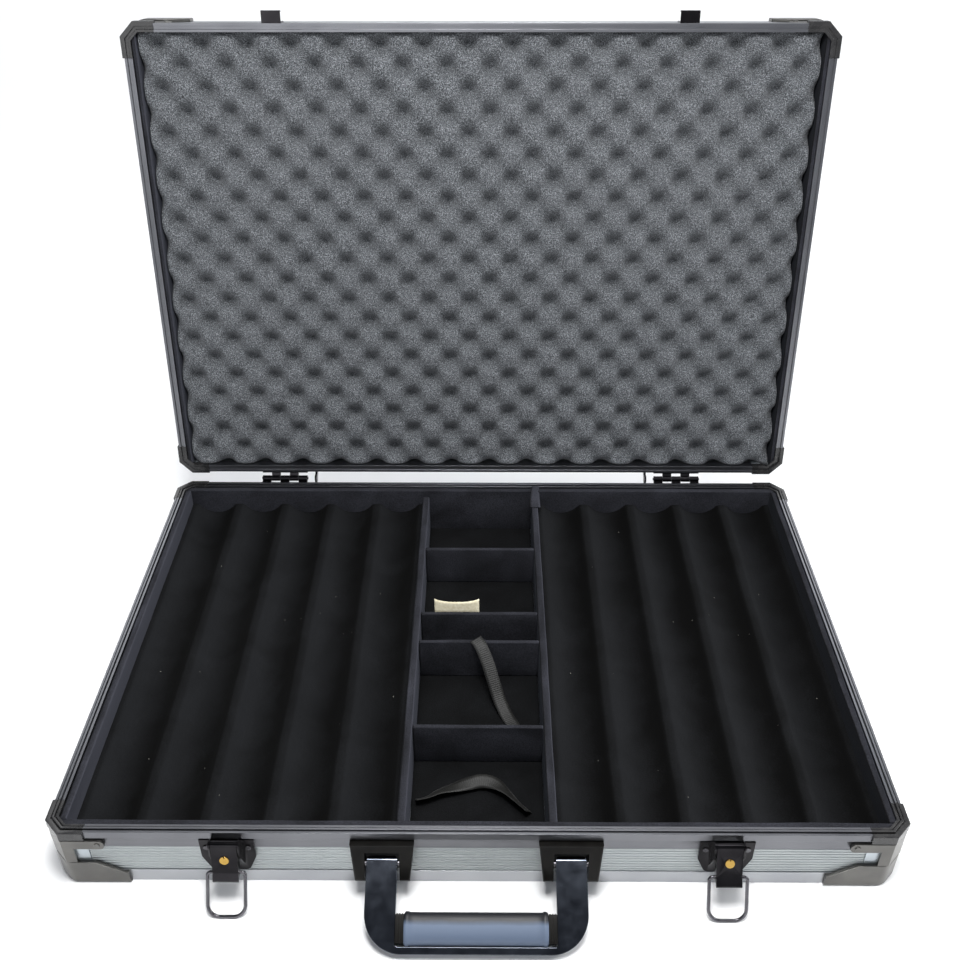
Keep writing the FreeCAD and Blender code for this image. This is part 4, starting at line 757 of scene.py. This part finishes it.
def grip_moulding():
    """A long oval moulding inside the grip's solid, a little fuller in a band at each end."""
    spots = [vertex.co for vertex in frame["nodes"]["handle_grip"].data.vertices]
    low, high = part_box("handle_grip")
    centre = (low + high) / 2
    out = centre - Vector(joints["handle_swing"]["pos_m"])
    out = Vector((0, out.y, out.z)).normalized()
    up = out.cross(Vector((1, 0, 0)))
    half_x, half_out, half_up = (
        max((s - centre).dot(way) for s in spots) for way in (Vector((1, 0, 0)), out, up))
    stations = [(depth * MM - half_x, size) for depth, size in GRIP_BANDS]
    stations += [(-x, size) for x, size in reversed(stations)]
    bm = bmesh.new()
    rings = []
    for x, size in stations:
        ring = []
        for step in range(GRIP_SIDES):
            angle = 2 * math.pi * step / GRIP_SIDES
            a, b = (math.copysign(abs(value) ** (2 / GRIP_SQUARENESS), value)
                    for value in (math.cos(angle), math.sin(angle)))
            side = (out * half_out * a + up * half_up * b) * size
            ring.append(bm.verts.new(centre + Vector((x, 0, 0)) + side))
        rings.append(ring)
    skin(bm, rings)
    mesh = as_mesh(bm, "handle_grip", 38)
    # outward is 0 on the inner side and 1 on the outer; the finish paints shade where it is low
    outward = mesh.attributes.new("outward", "FLOAT", "POINT")
    for vertex, level in zip(mesh.vertices, outward.data):
        level.value = 0.5 + 0.5 * (vertex.co - centre).dot(out) / half_out
    return place_piece(link("handle_grip_made", mesh), "handle", "grip", grip_vinyl, "handle_grip")


grip_moulding()


def collar_tree():
    tree, given = new_tree("collar rings", [
        ("Rings", "NodeSocketInt", 3), ("Spacing", "NodeSocketFloat", 0.0018),
        ("Centre", "NodeSocketVector", (0, 0, 0)), ("Ring Scale", "NodeSocketVector", (0.2, 1.05, 1.05))])
    spot = add(tree, "ShaderNodeSeparateXYZ", {0: given["Centre"]}).outputs
    both = add(tree, "GeometryNodeJoinGeometry")
    for side in (1.0, -1.0):
        middle_x = arithmetic(tree, "MULTIPLY", spot["X"], side)
        start_x = arithmetic(tree, "SUBTRACT", middle_x, given["Spacing"])
        start = add(tree, "ShaderNodeCombineXYZ", {"X": start_x, "Y": spot["Y"], "Z": spot["Z"]})
        step = add(tree, "ShaderNodeCombineXYZ", {"X": given["Spacing"]})
        line = add(tree, "GeometryNodeMeshLine", {
            "Count": given["Rings"], "Start Location": start.outputs[0], "Offset": step.outputs[0]})
        rings = add(tree, "GeometryNodeInstanceOnPoints", {
            "Points": line.outputs["Mesh"], "Instance": given["Geometry"], "Scale": given["Ring Scale"]})
        tree.links.new(rings.outputs["Instances"], both.inputs["Geometry"])
    return close_tree(tree, both.outputs["Geometry"], moulded_abs)


def collar_rings():
    """Three rings on each collar, every one the left collar's shape made thin and a little larger."""
    collars = hard_piece("handle_collars", 0.3)
    bm = bmesh.new()
    bm.from_mesh(collars.data)
    bmesh.ops.delete(bm, geom=[v for v in bm.verts if v.co.x > 0], context="VERTS")
    centre = sum((v.co for v in bm.verts), Vector()) / len(bm.verts)
    bmesh.ops.translate(bm, verts=bm.verts, vec=-centre)
    ring = bpy.data.meshes.new("collar_ring")
    bm.to_mesh(ring)
    bm.free()
    made = grown("handle_collar_rings", collar_tree(), {
        "Rings": 3, "Spacing": 1.7 * MM, "Centre": centre, "Ring Scale": (0.17, 1.05, 1.07)}, ring)
    return place_piece(made, "handle", "black_plastic", moulded_abs)


collar_rings()

# %% [markdown]
# ## Ribbons
#
# Two lift ribbons have come loose and lie in the bays. A ribbon is a flat strip that bends only across
# its width and twists along it, so each is a strip carried along a smooth line of given points,
# with a lean for every point that says how far it has rolled over. The strip gets a UV map for its weave
# and a thickness of a third of a millimetre.

# %% Ribbons
RIBBON_WIDE = 10 * MM
RIBBON_THICK = 0.35 * MM
RIBBON_STRIPS = 4           # faces across its width


def smooth_line(points, steps):
    """A Catmull-Rom line through the points; each is (x, y, z, lean in degrees)."""
    ends = [points[0]] + points + [points[-1]]
    line = []
    for a, b, c, d in zip(ends, ends[1:], ends[2:], ends[3:]):
        for step in range(steps):
            t = step / steps
            line.append([0.5 * (2 * q + (r - p) * t + (2 * p - 5 * q + 4 * r - s) * t * t
                                + (3 * q - p - 3 * r + s) * t ** 3) for p, q, r, s in zip(a, b, c, d)])
    return line + [list(points[-1])]


def ribbon(name, route, node=None, finish=ribbon_finish, slot="ribbon"):
    line = smooth_line(route, 10)
    spots = [Vector(p[:3]) * MM for p in line]
    length = sum((b - a).length for a, b in zip(spots, spots[1:]))
    bm = bmesh.new()
    weave = bm.loops.layers.uv.new("weave")
    rows, run = [], 0.0
    for i, spot in enumerate(spots):
        ahead = (spots[min(i + 1, len(spots) - 1)] - spots[max(i - 1, 0)]).normalized()
        flat = ahead.cross(Vector((0, 0, 1)))
        if flat.length < 0.05:
            flat = Vector((1, 0, 0))
        across = Matrix.Rotation(math.radians(line[i][3]), 3, ahead) @ flat.normalized()
        row = [bm.verts.new(spot + across * RIBBON_WIDE * (k / RIBBON_STRIPS - 0.5))
               for k in range(RIBBON_STRIPS + 1)]
        rows.append((run, row))
        if i + 1 < len(spots):
            run += (spots[i + 1] - spot).length
    for (run_a, near), (run_b, far) in zip(rows, rows[1:]):
        for k in range(RIBBON_STRIPS):
            face = bm.faces.new((near[k], near[k + 1], far[k + 1], far[k]))
            corners = ((k, run_a), (k + 1, run_a), (k + 1, run_b), (k, run_b))
            for loop, (c, r) in zip(face.loops, corners):
                loop[weave].uv = (RIBBON_WIDE * c / RIBBON_STRIPS, r)
    piece = thickened(link(name, as_mesh(bm, name)), RIBBON_THICK)
    place_piece(piece, "base", slot, finish, *([node] if node else []))
    print(f"{name}: {length / MM:.0f} mm long")


# every route is in millimetres, measured from the divider it starts at, with its lean in degrees
floor_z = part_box("card_floor")[1].z / MM
wall_low, wall_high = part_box("cross_divider_3")
top_z = wall_high.z / MM
edge_three = wall_low.y / MM
edge_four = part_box("cross_divider_4")[0].y / MM

back_route = [
    (-2.5, edge_three + 3.0, top_z + 1.0, 8), (2, edge_three - 3.5, top_z - 1.5, 10),
    (7, edge_three - 12, top_z - 10, 14), (11.5, edge_three - 22, top_z - 20, 18),
    (16, edge_three - 32, top_z - 29, 12), (21, edge_three - 42, floor_z + 2.5, 4),
    (26, edge_three - 51, floor_z + 0.8, 0), (31, edge_three - 62, floor_z + 0.8, 0),
]
front_route = [
    (-43.5, edge_four - 38, floor_z + 5.0, -48), (-36, edge_four - 36, floor_z + 5.0, -46),
    (-27, edge_four - 31, floor_z + 5.2, -34), (-17, edge_four - 27, floor_z + 4.6, -14),
    (-7, edge_four - 24, floor_z + 5.0, 10), (3, edge_four - 22, floor_z + 5.6, 24),
    (12, edge_four - 24, floor_z + 5.6, 4), (20, edge_four - 31, floor_z + 5.6, -34),
    (28, edge_four - 40, floor_z + 5.4, -50), (36, edge_four - 48, floor_z + 5.0, -50),
]
ribbon("back_ribbon_strip", back_route, "back_ribbon")
ribbon("front_ribbon_strip", front_route, "front_ribbon")

# %% [markdown]
# The velvet on the right divider has come unstuck at its back end. The loose end of it stands up against
# the rim, so it is one more narrow strip, in the divider's own velvet.

# %% Loose velvet at the divider's end
divider_low, divider_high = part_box("right_divider")
rim_z = HINGE.z / MM
mid_x = (divider_low.x + divider_high.x) / 2 / MM
back_y = divider_high.y / MM
loose_route = [
    (mid_x, back_y - 17, rim_z - 7.2, 0), (mid_x, back_y - 11, rim_z - 6.4, 12),
    (mid_x + 0.3, back_y - 5, rim_z - 4.0, 30), (mid_x + 0.6, back_y - 1.0, rim_z - 0.2, 45),
    (mid_x + 0.9, back_y + 1.5, rim_z + 2.9, 52),
]
ribbon("loose_divider_velvet", loose_route, finish=velvet_board, slot="lining")

# %% [markdown]
# ## Card tag
#
# A blank slip of cream card stands behind a divider, its corners curling forward from being handled.

# %% Card tag
TAG_COLUMNS, TAG_ROWS = 24, 16
TAG_CURL = 2.2 * MM         # how far a top corner comes forward
TAG_DIP = 1.6 * MM          # how far the top edge sags in the middle
TAG_THICK = 0.4 * MM


def card_tag():
    low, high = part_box("card_tag")
    bm = bmesh.new()
    grid = []
    for row in range(TAG_ROWS + 1):
        up = row / TAG_ROWS
        line = []
        for column in range(TAG_COLUMNS + 1):
            side = 2 * column / TAG_COLUMNS - 1
            curl = abs(side) ** 4 * up ** 2
            dip = TAG_DIP * up ** 6 * (1 - side * side)
            x = low.x + (high.x - low.x) * column / TAG_COLUMNS
            y = (low.y + high.y) / 2 + TAG_CURL * curl
            line.append(bm.verts.new((x, y, low.z + (high.z - low.z) * up - dip)))
        grid.append(line)
    for near, far in zip(grid, grid[1:]):
        for i in range(TAG_COLUMNS):
            bm.faces.new((near[i], near[i + 1], far[i + 1], far[i]))
    piece = baked(thickened(link("card_tag_slip", as_mesh(bm, "card_tag")), TAG_THICK))
    place_piece(piece, "base", "paper", card_finish, "card_tag")


card_tag()

# %% [markdown]
# ## Lint
#
# Black velvet gathers lint. A few dozen pale flecks are scattered over the trays by Geometry Nodes, from
# a fixed seed, so that they fall in the same places each time.

# %% Lint
LINT_PER_M2 = 110.0
LINT_SEED = 7
FLECK_RADIUS = 0.4 * MM
FLECK_SCALES = {0: (0.5, 0.5, 0.25), 1: (1.6, 1.0, 0.5)}    # the least and the most, by side


def lint_finish():
    material, tree, place = new_material("cotton_lint")
    tone = add(tree, "ShaderNodeTexNoise", {"Vector": place, "Scale": per_mm(8), "Detail": 2.0})
    tint = ramp(tree, tone.outputs["Fac"], [(0.3, "#6d6c66"), (0.7, "#a3a197")])
    return close_material(material, tree, {"Base Color": tint, "Roughness": 1.0, "Sheen Weight": 0.2})


def lint_tree(finish):
    tree, given = new_tree("lint", [("Density", "NodeSocketFloat", 200.0), ("Seed", "NodeSocketInt", 3),
                                    ("Fleck", "NodeSocketFloat", 0.0004)])
    scattered = add(tree, "GeometryNodeDistributePointsOnFaces", {
        "Mesh": given["Geometry"], "Density": given["Density"], "Seed": given["Seed"]})
    fleck = add(tree, "GeometryNodeMeshIcoSphere", {"Radius": given["Fleck"], "Subdivisions": 1})
    size = add(tree, "FunctionNodeRandomValue", {**FLECK_SCALES, "Seed": given["Seed"]},
               data_type="FLOAT_VECTOR")
    flecks = add(tree, "GeometryNodeInstanceOnPoints", {
        "Points": scattered.outputs["Points"], "Instance": fleck.outputs["Mesh"],
        "Rotation": scattered.outputs["Rotation"], "Scale": size.outputs[0]})
    return close_tree(tree, flecks.outputs["Instances"], finish)


lint_material = lint_finish()
lint_rule = lint_tree(lint_material)
for tray, side in zip(trays, ("left", "right")):
    flecks = grown(f"{side}_tray_lint", lint_rule, {
        "Density": LINT_PER_M2, "Seed": LINT_SEED, "Fleck": FLECK_RADIUS}, tray.data.copy())
    place_piece(flecks, "base", "tray", lint_material)
    print(f"{side} lint: {len(flecks.data.polygons)} faces")

# %% [markdown]
# ## Floor, light and camera
#
# The case stands on a plain pale floor. A window lamp to the right lights the slopes that face it, a broad
# lamp overhead fills from above, and a small near one in front of the lid lights the foam and the walls of
# the bays. A weak one stands in front of the case, and one washes the floor behind it. The surround is pale
# at the horizon and dark overhead, so that glossy faces turned up stay dark and their edges catch the
# light. The camera looks down at the open case from just above its front edge.

# %% Floor, light and camera
FLOOR_Z = cad_box[0].z
LAMPS = [       # name, place, aim, the two sides in metres, watts
    ("key_above", (0.3, 0.35, 2.3), (0, 0.1, 0.1), (1.8, 0.8), 21),
    ("near_above", (0.0, -0.32, 1.08), (0, 0.05, 0.05), (0.3, 0.3), 11),
    ("window_right", (2.3, 0.2, 1.3), (0, 0, 0.05), (1.0, 1.2), 34),
    ("front_soft", (-0.6, -2.6, 0.7), (0, 0, 0.1), (1.6, 0.7), 9),
    ("floor_wash", (0.0, 3.6, 2.6), (0, 3.4, 0.0), (6.0, 3.0), 120),
]
CAMERA_PLACE = (0.0058, -0.6278, HINGE.z + 0.586)
CAMERA_TURN_DEG = (54.63, 0.08, 0.37)
LENS_MM, SENSOR_MM = 40.67, 36


def studio_floor():
    material, tree, place = new_material("pale_studio_floor")
    cloud = add(tree, "ShaderNodeTexNoise", {"Vector": place, "Scale": per_mm(400), "Detail": 2.0})
    tint = ramp(tree, cloud.outputs["Fac"], [(0.3, "#f4f4f4"), (0.7, "#fafafa")])
    close_material(material, tree, {"Base Color": tint, "Roughness": 0.9})
    bm = bmesh.new()
    bmesh.ops.create_grid(bm, x_segments=1, y_segments=1, size=8.0)
    mesh = as_mesh(bm, "floor")
    mesh.transform(Matrix.Translation((0, 0, FLOOR_Z)))
    mesh.materials.append(material)
    link("studio_floor", mesh)


studio_floor()


for name, place, aim, sides, watts in LAMPS:
    data = bpy.data.lights.new(name, "AREA")
    data.shape = "RECTANGLE"
    data.size, data.size_y = sides
    data.energy = watts
    lamp = link(name, data)
    lamp.location = place
    lamp.rotation_euler = (Vector(aim) - Vector(place)).to_track_quat("-Z", "Y").to_euler()

world = bpy.data.worlds.new("studio")
world.use_nodes = True
sky = world.node_tree
around = add(sky, "ShaderNodeTexCoord").outputs["Generated"]
height = add(sky, "ShaderNodeSeparateXYZ", {0: around}).outputs["Z"]
shade = ramp(sky, height, [(0.0, "#f4f6fa"), (0.35, "#dfe3ea"), (0.8, "#5c6068")])
sky.links.new(shade, sky.nodes["Background"].inputs["Color"])
sky.nodes["Background"].inputs["Strength"].default_value = 0.8
scene.world = world
scene.view_settings.view_transform = "Standard"

camera_data = bpy.data.cameras.new("camera")
camera_data.lens = LENS_MM
camera_data.sensor_width = SENSOR_MM
camera = link("camera", camera_data)
camera.location = CAMERA_PLACE
camera.rotation_euler = [math.radians(angle) for angle in CAMERA_TURN_DEG]
scene.camera = camera
